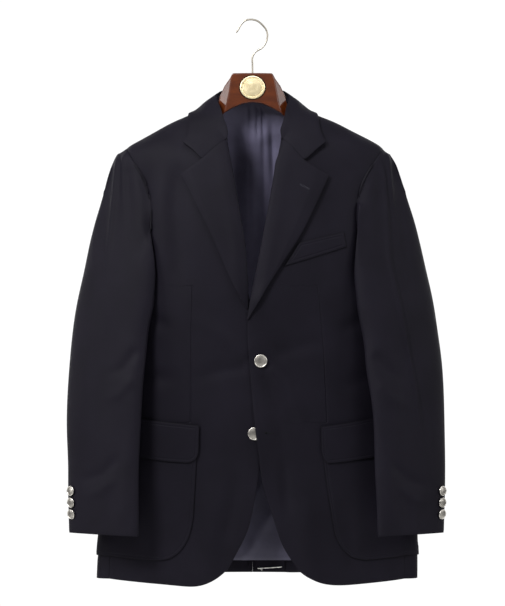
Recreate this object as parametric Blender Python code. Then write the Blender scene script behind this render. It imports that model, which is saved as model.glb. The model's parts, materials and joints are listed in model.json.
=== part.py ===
"""Single breasted blazer hanging on a wooden hanger.

Lengths are millimetres until a mesh is made, then metres. +Z is up, the wearer's left is +X
and the fronts face -Y. The origin is the inside top of the hook's bend, where a rail carries it.
The body of the coat is one surface: a point on it has an angle round the body and a height.
Angle 0 is the centre front, 90 the wearer's left side, 180 the centre back, -90 the right side.
"""
import math
from collections import namedtuple

import bmesh
import bpy
import numpy as np

MM = 0.001

# Driving sizes
CLOTH = 2.0              # body cloth with its canvas
SLEEVE_CLOTH = 1.8
LINING = 1.0
COLLAR_CLOTH = 2.4
LAPEL_CLOTH = 2.2
FLAP_CLOTH = 2.5
SEAM_TRIM = 0.25         # taken off each edge at a seam
LAY_GAP = 0.5            # between one layer and the layer under it
SLEEVE_CLEARANCE = 3.5   # between a sleeve and the body beside it
SHOULDER_Z = -204.0      # shoulder end of the armhole
SCYE_Z = -423.0          # lowest point of the armhole
NECK_SHOULDER = (82.0, -144.0)
BACK_NECK_Z = -152.0
BACK_HEM_Z = -884.0
ARMHOLE_SWEEP = 39.0     # degrees that the armhole cuts into the front and into the back
STEP = 18                # degrees between the points of an armhole or a sleeve ring
SIDE_FRONT_TURN = 144    # where the front's side seam meets the armhole
SIDE_BACK_TURN = 216
FRONT_COLUMNS = 10
NECK_COLUMNS = 6
BODY_ROWS = 15
BACK_TOP_POWER = 6       # keeps the back's columns from folding over beside the armhole
FRONT_BUTTON_RADIUS = 10.4
CUFF_BUTTON_RADIUS = 8.0
CUFF_BUTTON_Z = (-752.0, -770.5, -788.5)
CUFF_BUTTON_DROOP = (0.0, 0.13, 0.3)   # how much each one's face looks down
CUFF_BUTTON_LIFT = 0.5
CUFF_BUTTON_SHANK = 1.5
CUFF_BUTTON_TIP = 48.0                 # degrees that their faces turn out to the side
CUFF_BUTTON_INSET = 0.5                # of a step in from the sleeve's hind edge
WIRE_RADIUS = 1.5

BodyLevel = namedtuple("BodyLevel", "z right left front back")
BODY = (
    BodyLevel(-118, 10, 10, 4, 5),
    BodyLevel(-128, 46, 46, 16, 19),
    BodyLevel(-136, 72, 72, 26, 31),
    BodyLevel(-144, 82, 82, 30, 36),
    BodyLevel(-150, 97, 98, 34, 40),
    BodyLevel(-162, 126, 130, 40, 45),
    BodyLevel(-178, 156, 162, 47, 50),
    BodyLevel(-192, 181, 190, 53, 54),
    BodyLevel(-204, 201, 209, 58, 57),
    BodyLevel(-216, 206, 212, 62, 59),
    BodyLevel(-250, 207, 213, 70, 63),
    BodyLevel(-320, 208, 214, 80, 67),
    BodyLevel(-423, 210, 217, 84, 66),
    BodyLevel(-540, 208, 217, 77, 58),
    BodyLevel(-640, 216, 228, 68, 52),
    BodyLevel(-740, 230, 246, 58, 46),
    BodyLevel(-823, 245, 262, 51, 43),
    BodyLevel(-915, 251, 264, 46, 40),
)

SleeveRing = namedtuple(
    "SleeveRing",
    "z_out z_in right_out right_in left_out left_in y_out y_in thick front_roll back_roll")
SLEEVE = (
    SleeveRing(-213, -430, 214, 205, 219, 211, 0, -6, 54, 46, 40),
    SleeveRing(-228, -437, 223, 190, 229, 198, 0, -18, 50, 44, 28),
    SleeveRing(-248, -446, 230, 176, 236, 184, 1, -33, 45, 40, 16),
    SleeveRing(-274, -458, 238, 167, 245, 176, 1, -47, 39, 29, 7),
    SleeveRing(-313, -474, 249, 164, 257, 172, 0, -58, 34, 17, 1),
    SleeveRing(-357, -496, 261, 166, 269, 174, -2, -65, 30, 6, 0),
    SleeveRing(-402, -522, 270, 168, 279, 178, -4, -70, 28, 1, 0),
    SleeveRing(-449, -551, 280, 171, 289, 180, -6, -75, 27, 0, 0),
    SleeveRing(-497, -582, 287, 174, 296, 185, -8, -79, 27, 0, 0),
    SleeveRing(-547, -615, 292, 176, 303, 190, -10, -83, 27, 0, 0),
    SleeveRing(-601, -653, 296, 178, 306, 193, -13, -86, 26, 0, 0),
    SleeveRing(-655, -693, 297, 180, 307, 194, -16, -89, 25, 0, 0),
    SleeveRing(-704, -730, 295, 181, 308, 195, -20, -92, 24, 0, 0),
    SleeveRing(-748, -764, 295, 181, 308, 197, -24, -95, 23, 0, 0),
    SleeveRing(-786, -796, 294, 181, 307, 198, -27, -97, 22, 0, 0),
    SleeveRing(-819, -824, 293, 181, 306, 199, -30, -99, 21, 0, 0),
)

# Front edges and hems, in the front elevation, from the hem corner up to the neck.
LEFT_EDGE = ((65, -867), (50, -846), (43, -827), (33, -795), (23, -766), (15, -739), (12, -713),
             (8, -679), (5, -660), (0, -613), (-3, -580), (-7, -531), (-9, -481), (-4, -447),
             (3, -410), (12, -367), (21, -319), (31, -265), (38, -219), (50, -187), (60, -172),
             (70, -158), (78, -149), NECK_SHOULDER)
LEFT_HEM = ((65, -867), (74, -880), (86, -889), (99, -896), (119, -903), (152, -903), (195, -899),
            (242, -893))
RIGHT_EDGE = ((-39, -877), (-25, -852), (-15, -831), (-6, -812), (6, -757), (12, -715),
              (18, -680), (20, -600), (20, -520), (4, -470), (-8, -440), (-9, -383), (-12, -351),
              (-22, -294), (-30, -245), (-38, -196), (-44, -188), (-56, -172), (-68, -158),
              (-78, -149), (-NECK_SHOULDER[0], NECK_SHOULDER[1]))
RIGHT_HEM = ((-39, -877), (-50, -888), (-75, -902), (-96, -906), (-141, -902), (-196, -897),
             (-229, -893))

# Lapels: the roll, the gorge from the roll over the notch to the tip, and the outer edge.
LEFT_LAPEL_ROLL = ((50, -189), (38, -219), (31, -265), (21, -319), (12, -367), (3, -410),
                   (-4, -447), (-9, -478))
LEFT_LAPEL_GORGE = ((50, -189), (67, -208), (84, -227), (102, -238.5), (121, -249))
LEFT_LAPEL_OUTER = ((121, -249), (99, -298), (79, -339), (62, -366), (45, -392), (24, -425),
                    (6, -456), (-7, -478))
RIGHT_LAPEL_ROLL = ((-44, -190), (-38, -205), (-30, -245), (-22, -294), (-12, -351), (-9, -383),
                    (-6, -425), (-7, -462))
RIGHT_LAPEL_GORGE = ((-44, -190), (-63, -207), (-81, -223.5), (-98, -235.5), (-115, -247))
RIGHT_LAPEL_OUTER = ((-115, -247), (-100, -274), (-81, -312), (-65, -344), (-50, -379),
                     (-33, -418), (-18, -447), (-9, -462))

CollarRow = namedtuple("CollarRow", "roll_x roll_y roll_z edge_x edge_y edge_z base_x base_y base_z")
COLLAR = (
    CollarRow(0, 34, -111, 0, 43, -161, 0, 38, -151),
    CollarRow(17, 33, -111, 28, 42, -160, 22, 36, -151),
    CollarRow(33, 29, -111, 54, 37, -158, 43, 31, -149),
    CollarRow(47, 20, -111, 78, 28, -155, 61, 22, -147),
    CollarRow(57, 8, -117, 94, 13, -151, 77, 11, -142.5),
    CollarRow(57, -6, -127, 101, -6, -153, 79, -2, -143),
    CollarRow(51, -18, -141, 103, -22, -161, 72, -14, -149),
    CollarRow(48, -29, -158, 104, -32, -173, 64, -24, -160),
    CollarRow(45, -37, -173, 107, -38, -187, 57, -33, -171),
    CollarRow(44, -44, -186, 113, -42, -199, 50, -42, -184),
)
COLLAR_END_DIP = 29.0    # how far the notch lies below the line from the roll to the point
COLLAR_GAP = 1.2         # under the collar's fall
NOTCH_SHARE = 0.54       # the notch's place from the roll to the collar's point
FALL_SHARES = (0, 0.13, 0.27, 0.41, NOTCH_SHARE, 0.7, 0.86, 1)
COLLAR_SHIFT = 3.0       # its front ends sit towards the wearer's left
STAND_ROWS = 6

HangerSection = namedtuple("HangerSection", "x top bottom half_depth")
HANGER = (
    HangerSection(0, -84.5, -131, 14), HangerSection(16, -84.5, -133, 14),
    HangerSection(31, -84.8, -142, 13.5), HangerSection(36, -93, -145, 12.5),
    HangerSection(43, -105, -149, 10), HangerSection(51, -124, -154, 7),
    HangerSection(55, -134, -158, 6), HangerSection(58, -139, -161, 6),
    HangerSection(66, -146, -168, 6.5), HangerSection(75, -151, -174, 7.5),
    HangerSection(84, -154, -180, 9),
    HangerSection(100, -158, -186, 12),
    HangerSection(126, -170, -198, 13.5), HangerSection(152, -184, -210, 15),
    HangerSection(172, -194, -219, 15), HangerSection(186, -202, -221, 12),
)
HOOK = ((0, -84.1), (0, -70), (0, -58), (4, -51), (15, -44), (22, -34), (24, -24), (22, -15),
        (16, -7.5), (8, -1), (-2, 1.5), (-12, -0.5), (-18, -6), (-22, -13), (-26, -20))


def ease(value):
    """Goes smoothly from 0 to 1 as the value does."""
    t = min(1.0, max(0.0, value))
    return t * t * (3 - 2 * t)


def unit(vector):
    return vector / max(1e-9, np.linalg.norm(vector))


def smooth_curve(places, values):
    """A cubic through the values, with slopes taken from its neighbours."""
    order = np.argsort(places)
    xs = np.array(places, float)[order]
    ys = np.array(values, float)[order]
    slopes = np.gradient(ys, xs)

    def read(x):
        x = min(xs[-1], max(xs[0], x))
        i = min(len(xs) - 2, max(0, int(np.searchsorted(xs, x)) - 1))
        width = xs[i + 1] - xs[i]
        t = (x - xs[i]) / width
        return ((1 + 2 * t) * (1 - t) ** 2 * ys[i] + t * (1 - t) ** 2 * width * slopes[i]
                + t * t * (3 - 2 * t) * ys[i + 1] + t * t * (t - 1) * width * slopes[i + 1])
    return read


BODY_CURVES = {name: smooth_curve([level.z for level in BODY],
                                  [getattr(level, name) for level in BODY])
               for name in ("right", "left", "front", "back")}


def half_width(side, z):
    return BODY_CURVES["left" if side > 0 else "right"](z)


def body_point(angle, z):
    """A point on the outer face of the body's cloth."""
    turn = math.radians(angle)
    width = half_width(1 if math.sin(turn) >= 0 else -1, z)
    depth = BODY_CURVES["front" if math.cos(turn) >= 0 else "back"](z)
    return np.array((width * math.sin(turn), -depth * math.cos(turn), z))


def body_normal(angle, z):
    across = body_point(angle + 0.5, z) - body_point(angle - 0.5, z)
    up = body_point(angle, z + 1.0) - body_point(angle, z - 1.0)
    return unit(np.cross(across, up))


def on_body(angle, z, lift):
    return body_point(angle, z) + body_normal(angle, z) * lift


def angle_at(x, z):
    """The angle on the front half at a sideways place of the front elevation."""
    share = x / half_width(x, z)
    return math.degrees(math.asin(min(1.0, max(-1.0, share))))


def elevation(points):
    return [np.array((angle_at(x, z), z)) for x, z in points]


def walk(points, shares):
    """Places along a polyline, each at its share of the length in millimetres."""
    solid = [body_point(a, z) for a, z in points]
    steps = [np.linalg.norm(b - a) for a, b in zip(solid, solid[1:])]
    along = np.concatenate(((0.0,), np.cumsum(steps))) / sum(steps)
    array = np.array(points, float)
    return [np.array((np.interp(s, along, array[:, 0]), np.interp(s, along, array[:, 1])))
            for s in shares]


def lengths(points):
    """Each point's share of the way along the body."""
    solid = [body_point(a, z) for a, z in points]
    steps = [np.linalg.norm(b - a) for a, b in zip(solid, solid[1:])]
    return np.concatenate(((0.0,), np.cumsum(steps))) / sum(steps)


def patch(start, end, bottom, top, top_power=1):
    """A grid between four edges that share their corners: start and end run up, the others across.
    A higher power keeps the top edge's bends nearer to that edge."""
    rows, columns = len(start), len(bottom)
    grid = []
    for i in range(rows):
        v = i / (rows - 1)
        row = []
        for j in range(columns):
            u = j / (columns - 1)
            across = (1 - u) * start[i] + u * end[i]
            foot_bend = bottom[j] - (1 - u) * bottom[0] - u * bottom[-1]
            top_bend = top[j] - (1 - u) * top[0] - u * top[-1]
            row.append(across + (1 - v) * foot_bend + v ** top_power * top_bend)
        grid.append(row)
    return grid


def armhole(side, turn):
    """Angle and height at a turn round the armhole: 0 shoulder, 90 front, 180 underarm."""
    radians = math.radians(turn)
    middle = (SHOULDER_Z + SCYE_Z) / 2
    reach = (SHOULDER_Z - SCYE_Z) / 2
    return np.array((side * (90 - ARMHOLE_SWEEP * math.sin(radians)),
                     middle + reach * math.cos(radians)))


def hem_z(side, angle):
    """Height of the hem at the side and back, from the side seam of the front to the centre."""
    start = abs(armhole(side, SIDE_FRONT_TURN)[0])
    front = (LEFT_HEM if side > 0 else RIGHT_HEM)[-1][1]
    return front + (BACK_HEM_Z - front) * ease((abs(angle) - start) / (180 - start))


def seam_rows(side, turn):
    """The rows of a side seam, from the hem to the armhole."""
    corner = armhole(side, turn)
    foot = np.array((corner[0], hem_z(side, corner[0])))
    return [foot + (corner - foot) * i / BODY_ROWS for i in range(BODY_ROWS + 1)]


def trimmed(points):
    """Takes the seam trim off the four edges of a grid of points."""
    grid = np.array(points)
    out = grid.copy()
    for line, beside in ((0, 1), (-1, -2)):
        step = grid[beside] - grid[line]
        out[line] += step / np.linalg.norm(step, axis=1)[:, None] * SEAM_TRIM
        step = grid[:, beside] - grid[:, line]
        out[:, line] += step / np.linalg.norm(step, axis=1)[:, None] * SEAM_TRIM
    return out


def grid_normals(points, facing):
    """Normals of a grid, turned to the side that the facing function gives."""
    grid = np.array(points)
    down = np.gradient(grid, axis=0)
    across = np.gradient(grid, axis=1)
    normals = np.cross(across, down)
    normals /= np.maximum(1e-9, np.linalg.norm(normals, axis=2))[:, :, None]
    for i in range(grid.shape[0]):
        for j in range(grid.shape[1]):
            if np.dot(normals[i, j], facing(grid[i, j])) < 0:
                normals[i, j] = -normals[i, j]
    return normals


def make_material(name, colour, roughness, metallic=0.0):
    material = bpy.data.materials.new(name)
    material.use_nodes = True
    shader = material.node_tree.nodes["Principled BSDF"]
    shader.inputs["Base Color"].default_value = (*colour, 1.0)
    shader.inputs["Roughness"].default_value = roughness
    shader.inputs["Metallic"].default_value = metallic
    return material


def make_object(name, material, points, faces):
    """A closed body from points in millimetres, with its faces turned outwards."""
    mesh = bpy.data.meshes.new(name)
    mesh.from_pydata([tuple(float(c) * MM for c in p) for p in points], [], faces)
    shape = bmesh.new()
    shape.from_mesh(mesh)
    bmesh.ops.recalc_face_normals(shape, faces=shape.faces)
    shape.to_mesh(mesh)
    shape.free()
    mesh.shade_smooth()
    mesh.set_sharp_from_angle(angle=math.radians(40))
    mesh.materials.append(material)
    thing = bpy.data.objects.new(name, mesh)
    bpy.context.scene.collection.objects.link(thing)
    return thing


def wall(name, material, points, normals, thickness):
    """A closed wall from a grid on its outer face and the same grid moved in by its thickness."""
    outer = np.array(points)
    inner = outer - np.array(normals) * thickness
    rows, columns = outer.shape[:2]
    count = rows * columns
    vertices = list(outer.reshape(-1, 3)) + list(inner.reshape(-1, 3))
    faces = []
    for i in range(rows - 1):
        for j in range(columns - 1):
            a = i * columns + j
            b, c, d = a + 1, a + columns + 1, a + columns
            faces += [(a, b, c), (a, c, d)]
            faces += [(a + count, c + count, b + count), (a + count, d + count, c + count)]
    rim = [j for j in range(columns)]
    rim += [i * columns + columns - 1 for i in range(1, rows)]
    rim += [(rows - 1) * columns + j for j in range(columns - 2, -1, -1)]
    rim += [i * columns for i in range(rows - 2, 0, -1)]
    for a, b in zip(rim, rim[1:] + rim[:1]):
        faces += [(a, b, b + count), (a, b + count, a + count)]
    return make_object(name, material, vertices, faces)


def body_wall(name, material, grid, lift, thickness):
    """A panel of the body from a grid of angles and heights; lift may change over it."""
    height = lift if callable(lift) else (lambda a, z: lift)
    points = [[on_body(a, z, height(a, z)) for a, z in row] for row in grid]
    normals = [[body_normal(a, z) for a, z in row] for row in grid]
    return wall(name, material, trimmed(points), normals, thickness)


def loft(name, material, rings):
    """A closed body through rings of equal count, with its two ends filled by fans."""
    count = len(rings[0])
    vertices = [p for ring in rings for p in ring]
    faces = []
    for i in range(len(rings) - 1):
        for j in range(count):
            a, b = i * count + j, i * count + (j + 1) % count
            faces += [(a, b, b + count), (a, b + count, a + count)]
    last = (len(rings) - 1) * count
    for j in range(1, count - 1):
        faces.append((0, j + 1, j))
        faces.append((last, last + j, last + j + 1))
    return make_object(name, material, vertices, faces)


def lathe(name, material, centre, axis, profile, sides, stretch=(1.0, 1.0)):
    """A turned body: profile rows are distance along the axis and radius."""
    axis = unit(np.array(axis, float))
    upright = np.array((0.0, 0.0, 1.0))
    across = unit(np.cross(upright, axis))
    upward = np.cross(axis, across)
    rings = []
    for along, radius in profile:
        rings.append([np.array(centre) + axis * along
                      + across * radius * stretch[0] * math.cos(2 * math.pi * k / sides)
                      + upward * radius * stretch[1] * math.sin(2 * math.pi * k / sides)
                      for k in range(sides)])
    return loft(name, material, rings)


def front_lift(x, z):
    """How far the left front stands over the right one, and over the button beneath its edge."""
    over = 3.2 * ease((38 - x) / 28) * ease((-418 - z) / 26) * ease((z + 880) / 90)
    button = 4.6 * math.exp(-((z + 660) / 42) ** 2) * ease((44 - x) / 36)
    return over + button


def left_front_lift(angle, z):
    x = body_point(angle, z)[0]
    return front_lift(x, z)


def make_front(side, name, material):
    edge = elevation(LEFT_EDGE if side > 0 else RIGHT_EDGE)
    hem = elevation(LEFT_HEM if side > 0 else RIGHT_HEM)
    corner = armhole(side, SIDE_FRONT_TURN)
    hem[-1] = np.array((corner[0], hem_z(side, corner[0])))
    edge[-1] = np.array((side * 90.0, NECK_SHOULDER[1]))
    seam = seam_rows(side, SIDE_FRONT_TURN)
    arm = [armhole(side, turn) for turn in range(SIDE_FRONT_TURN - STEP, -1, -STEP)]
    outer = seam + arm
    start = walk(edge, lengths(outer))
    bottom = walk(hem, np.linspace(0, 1, FRONT_COLUMNS + 1))
    shoulder = [np.array((side * 90.0, NECK_SHOULDER[1]
                          + (SHOULDER_Z - NECK_SHOULDER[1]) * j / FRONT_COLUMNS))
                for j in range(FRONT_COLUMNS + 1)]
    grid = patch(start, outer, bottom, shoulder)
    body_wall(name, material, grid, left_front_lift if side > 0 else 0.0, CLOTH)


def make_side(side, name, material):
    turns = range(SIDE_FRONT_TURN, SIDE_BACK_TURN + 1, STEP)
    columns = [seam_rows(side, turn) for turn in turns]
    grid = [[column[i] for column in columns] for i in range(BODY_ROWS + 1)]
    body_wall(name, material, grid, 0.0, CLOTH)


def make_back(side, name, material):
    """From the centre seam to the side seam, or the other way on the left, as a mirror would."""
    seam = seam_rows(side, SIDE_BACK_TURN)
    arm = [armhole(side, turn) for turn in range(SIDE_BACK_TURN + STEP, 361, STEP)]
    outer = seam + arm
    shares = lengths(outer)
    centre = [np.array((side * 180.0, BACK_HEM_Z + (BACK_NECK_Z - BACK_HEM_Z) * s))
              for s in shares]
    bottom = [np.array((a, hem_z(side, a)))
              for a in np.linspace(side * 180.0, outer[0][0], NECK_COLUMNS + FRONT_COLUMNS + 1)]
    neck = [np.array((side * (180.0 - math.degrees(math.asin(j / NECK_COLUMNS))),
                      BACK_NECK_Z + (NECK_SHOULDER[1] - BACK_NECK_Z) * ease(j / NECK_COLUMNS)))
            for j in range(NECK_COLUMNS)]
    shoulder = [np.array((side * 90.0, NECK_SHOULDER[1]
                          + (SHOULDER_Z - NECK_SHOULDER[1]) * j / FRONT_COLUMNS))
                for j in range(FRONT_COLUMNS + 1)]
    grid = patch(centre, outer, bottom, neck + shoulder, BACK_TOP_POWER)
    if side > 0:
        grid = [row[::-1] for row in grid]
    body_wall(name, material, grid, 0.0, CLOTH)


def clear_of_body(point, clearance):
    """Moves a point out from the body's upright axis until it stands clear of the body."""
    x, y, z = point
    if z > SHOULDER_Z + 6:
        return point
    width = half_width(x, z) + clearance
    depth = BODY_CURVES["front" if y < 0 else "back"](z) + clearance
    reach = math.hypot(x / width, y / depth)
    if reach >= 1.0:
        return point
    return np.array((x / reach, y / reach, z))


def sleeve_rings(side):
    """Rings of the sleeve's outer face, from the armhole to the cuff, with a point at each step."""
    turns = list(range(0, 360, STEP))
    rings = [[body_point(*armhole(side, turn)) for turn in turns]]
    for level in SLEEVE:
        x_out = level.left_out if side > 0 else level.right_out
        x_in = level.left_in if side > 0 else level.right_in
        ring = []
        for turn in turns:
            c, s = math.cos(math.radians(turn)), math.sin(math.radians(turn))
            roll = level.front_roll if s > 0 else level.back_roll
            x = (x_out + x_in) / 2 + (x_out - x_in) / 2 * c - roll * abs(s)
            y = (level.y_out + level.y_in) / 2 + (level.y_out - level.y_in) / 2 * c
            z = (level.z_out + level.z_in) / 2 + (level.z_out - level.z_in) / 2 * c
            flap_room = 8.0 * ease((-560 - z) / 60)
            ring.append(clear_of_body(np.array((side * x, y - level.thick * s, z)),
                                      SLEEVE_CLEARANCE + flap_room))
        rings.append(ring)
    return rings


def make_sleeve(side, material):
    """The top sleeve and the under sleeve, parted at the forearm and hind-arm seams."""
    word = "left" if side > 0 else "right"
    rings = np.array(sleeve_rings(side))
    count = rings.shape[1]
    closed = np.concatenate((rings[:, -2:], rings, rings[:, :2]), axis=1)
    middles = rings.mean(axis=1)
    down = np.gradient(closed, axis=0)
    across = np.gradient(closed, axis=1)
    normals = np.cross(across, down)
    normals /= np.linalg.norm(normals, axis=2)[:, :, None]
    normals = normals[:, 2:-2]
    for i in range(len(rings)):
        for j in range(count):
            if np.dot(normals[i, j], rings[i, j] - middles[i]) < 0:
                normals[i, j] = -normals[i, j]
    for j in range(count):
        under = (1 - math.cos(math.radians(j * STEP))) / 2
        rings[0, j] += body_normal(*armhole(side, j * STEP)) * 0.7 * under
        rings[0, j] += unit(rings[1, j] - rings[0, j]) * SEAM_TRIM
    hind = 342 // STEP
    fore = 198 // STEP
    for name, first, steps in (("sleeve_top_", hind - count, fore + 1), ("sleeve_under_", fore, 8)):
        picks = [(first + k) % count for k in range(steps + 1 if first >= 0 else fore - first + 1)]
        wall(name + word, material, trimmed(rings[:, picks]), normals[:, picks], SLEEVE_CLOTH)


def laid_grid(edges, rows, columns):
    """A grid between the roll, gorge and outer edge of a lapel, in angles and heights."""
    roll, gorge, outer = (elevation(points) for points in edges)
    start = walk(roll, np.linspace(0, 1, rows))
    end = walk(outer, np.linspace(0, 1, rows))
    top = walk(gorge, np.linspace(0, 1, columns))
    foot = [start[-1] + (end[-1] - start[-1]) * j / (columns - 1) for j in range(columns)]
    return patch(start, end, top, foot)


def make_lapel(side, name, material):
    lay = LAY_GAP + LAPEL_CLOTH
    if side > 0:
        grid = laid_grid((LEFT_LAPEL_ROLL, LEFT_LAPEL_GORGE, LEFT_LAPEL_OUTER), 16, 7)
        body_wall(name, material, grid, lambda a, z: lay + left_front_lift(a, z), LAPEL_CLOTH)
    else:
        grid = laid_grid((RIGHT_LAPEL_ROLL, RIGHT_LAPEL_GORGE, RIGHT_LAPEL_OUTER), 16, 7)
        body_wall(name, material, grid, lay, LAPEL_CLOTH)


def body_reach(point):
    """Below 1 inside the body's outer face and above 1 outside it."""
    x, y, z = point
    depth = BODY_CURVES["front" if y < 0 else "back"](z)
    return math.hypot(x / half_width(x, z), y / depth)


def stand_off(point, lift):
    """Moves a point out from the body's outer face until it stands off by the lift."""
    for _ in range(8):
        slope = np.array([(body_reach(point + step) - body_reach(point - step))
                          for step in np.eye(3) * 0.5])
        distance = (body_reach(point) - 1.0) / max(1e-6, np.linalg.norm(slope))
        if distance >= lift - 0.01:
            return point
        point = point + unit(slope) * (lift - distance) * 0.8
    return point


def collar_half(side):
    """Rows of the collar's fall from the centre back to the notch, from roll to outer edge."""
    grid = []
    for i, row in enumerate(COLLAR):
        roll = np.array((row.roll_x, row.roll_y, row.roll_z))
        edge = np.array((row.edge_x, row.edge_y, row.edge_z))
        last = i / (len(COLLAR) - 1)
        line = []
        for t in FALL_SHARES:
            crown = math.sin(math.pi * t) * (6.5 - 4.0 * last)
            out = unit(np.array((roll[0] * 0.4, roll[1], 0.0)))
            place = roll + (edge - roll) * t + out * crown
            tent = min(t / NOTCH_SHARE, (1 - t) / (1 - NOTCH_SHARE))
            place[2] -= COLLAR_END_DIP * tent * ease((last - 0.7) / 0.3)
            place[0] = side * place[0] + COLLAR_SHIFT * ease((last - 0.4) / 0.6)
            line.append(stand_off(place, COLLAR_CLOTH + COLLAR_GAP))
        grid.append(line)
    return grid


def make_collar(material):
    left, right = collar_half(1), collar_half(-1)
    grid = np.array(right[::-1] + left[1:])
    normals = grid_normals(grid, lambda p: np.array((p[0], p[1] * 2.0, 60.0)))
    wall("collar", material, grid, normals, COLLAR_CLOTH)


def stand_half(side):
    grid = []
    for row in COLLAR[:STAND_ROWS]:
        roll = np.array((row.roll_x, row.roll_y, row.roll_z))
        base = np.array((row.base_x, row.base_y, row.base_z))
        out = unit(np.array((roll[0], roll[1], 0.0)))
        top = roll - out * (COLLAR_CLOTH + 0.4) - np.array((0.0, 0.0, 2.0))
        line = []
        for j in range(4):
            place = base + (top - base) * j / 3
            line.append(np.array((side * place[0], place[1], place[2])))
        grid.append(line)
    return grid


def make_collar_stand(material):
    left, right = stand_half(1), stand_half(-1)
    grid = np.array(right[::-1] + left[1:])
    normals = grid_normals(grid, lambda p: np.array((p[0], p[1], 20.0)))
    wall("collar_stand", material, grid, normals, LINING + 0.6)


POCKET_TURNS = (144, 162, 180, 198)   # the side body's columns that a hip pocket crosses
POCKET_COLUMNS = 9
POCKET_GAP = 0.6
LEFT_PATCH_EDGE = ((110, -655), (113, -706), (118, -745), (126, -795), (131, -822), (142, -845),
                   (159, -859))
LEFT_PATCH_FOOT = ((159, -859), (179, -863), (212, -860), (240, -857))
RIGHT_PATCH_EDGE = ((-87, -655), (-89, -706), (-91, -745), (-94, -795), (-99, -822), (-113, -848),
                    (-131, -860))
RIGHT_PATCH_FOOT = ((-131, -860), (-149, -864), (-175, -863), (-209, -859))
LEFT_FLAP_TOP = ((108, -649), (193, -635))
LEFT_FLAP_EDGE = ((119, -708), (114, -704), (109, -689), (108, -649))
LEFT_FLAP_FOOT = ((119, -708), (143, -706), (196, -698))
RIGHT_FLAP_TOP = ((-84, -647), (-174, -637))
RIGHT_FLAP_EDGE = ((-103, -707), (-93, -704), (-85, -692), (-84, -647))
RIGHT_FLAP_FOOT = ((-103, -707), (-136, -705), (-174, -700))
POCKET_TOP_BACK_Z = -630.0
FLAP_FOOT_BACK_Z = -690.0
PATCH_FOOT_BACK_Z = -854.0


def pocket_grid(side, edge, foot, top, foot_z, top_z, rows):
    """Rows from foot to top, whose last columns follow those of the side body."""
    wrapped = [abs(armhole(side, turn)[0]) for turn in POCKET_TURNS]
    seam_foot = np.array((side * wrapped[0], foot[-1][1] * 0.6 + foot_z * 0.4))
    seam_top = np.array((side * wrapped[0], top[-1][1] * 0.4 + top_z * 0.6))
    foot, top = foot + [seam_foot], top + [seam_top]
    columns = np.linspace(0, 1, POCKET_COLUMNS)
    shares = np.linspace(0, 1, rows)
    front = patch(walk(edge, shares), walk([seam_foot, seam_top], shares),
                  walk(foot, columns), walk(top, columns))
    for row, share in zip(front, shares):
        seam_z = row[-1][1]
        back_z = foot_z + (top_z - foot_z) * share
        for angle in wrapped[1:]:
            along = (angle - wrapped[0]) / (wrapped[-1] - wrapped[0])
            row.append(np.array((side * angle, seam_z + (back_z - seam_z) * along)))
    return front


def make_patch(side, material):
    """The pouch, sewn on over the side seam."""
    word = "left" if side > 0 else "right"
    edge = elevation(LEFT_PATCH_EDGE if side > 0 else RIGHT_PATCH_EDGE)[::-1]
    foot = elevation(LEFT_PATCH_FOOT if side > 0 else RIGHT_PATCH_FOOT)
    grid = pocket_grid(side, edge, foot, [edge[-1]], PATCH_FOOT_BACK_Z, POCKET_TOP_BACK_Z - 8, 15)
    body_wall("patch_pocket_" + word, material, grid, POCKET_GAP + CLOTH, CLOTH)


def make_flap(side, material):
    word = "left" if side > 0 else "right"
    edge = elevation(LEFT_FLAP_EDGE if side > 0 else RIGHT_FLAP_EDGE)
    foot = elevation(LEFT_FLAP_FOOT if side > 0 else RIGHT_FLAP_FOOT)
    top = elevation(LEFT_FLAP_TOP if side > 0 else RIGHT_FLAP_TOP)
    grid = pocket_grid(side, edge, foot, top, FLAP_FOOT_BACK_Z, POCKET_TOP_BACK_Z, 7)
    body_wall("flap_" + word, material, grid, CLOTH + POCKET_GAP * 2 + FLAP_CLOTH, FLAP_CLOTH)


WELT_TOP = ((74, -356), (110, -347), (145, -339))
WELT_FOOT = ((50, -394), (100, -379), (149, -363))


def make_welt(material):
    top, foot = elevation(WELT_TOP), elevation(WELT_FOOT)
    rows, columns = 4, 8
    grid = patch(walk([foot[0], top[0]], np.linspace(0, 1, rows)),
                 walk([foot[-1], top[-1]], np.linspace(0, 1, rows)),
                 walk(foot, np.linspace(0, 1, columns)), walk(top, np.linspace(0, 1, columns)))
    body_wall("breast_welt", material, grid,
              lambda a, z: LAY_GAP + 1.6 + left_front_lift(a, z), 1.6)


LINING_HALF = 40.0       # degrees that the lining reaches to each side of the centre back
LINING_GAP = 2.0
LINING_TOP_Z = -157.0
LINING_FOOT_Z = -865.0
VENT_TOP_Z = -650.0
VENT_HALF = 11.5         # degrees that the underlap reaches past the centre


def make_lining(material):
    angles = np.linspace(180 - LINING_HALF, 180 + LINING_HALF, 15)
    heights = np.concatenate((np.linspace(LINING_FOOT_Z, -330, 13)[:-1],
                              np.linspace(-330, LINING_TOP_Z, 9)))
    grid = [[np.array((a, z)) for a in angles] for z in heights]

    def inset(angle, z):
        vent = ease((VENT_TOP_Z + 30 - z) / 40) * ease((24 - abs(angle - 180)) / 8)
        pleat = 3.0 * math.exp(-((angle - 179) / 3.0) ** 2) * ease((z + 440) / 60)
        shoulder = 2.3 * math.exp(-((z + 203) / 16.0) ** 2) * ease((abs(angle - 180) - 24) / 10)
        return -(CLOTH + LINING_GAP + 1.5 * vent + pleat + shoulder)
    body_wall("lining_back", material, grid, inset, LINING)


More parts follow.
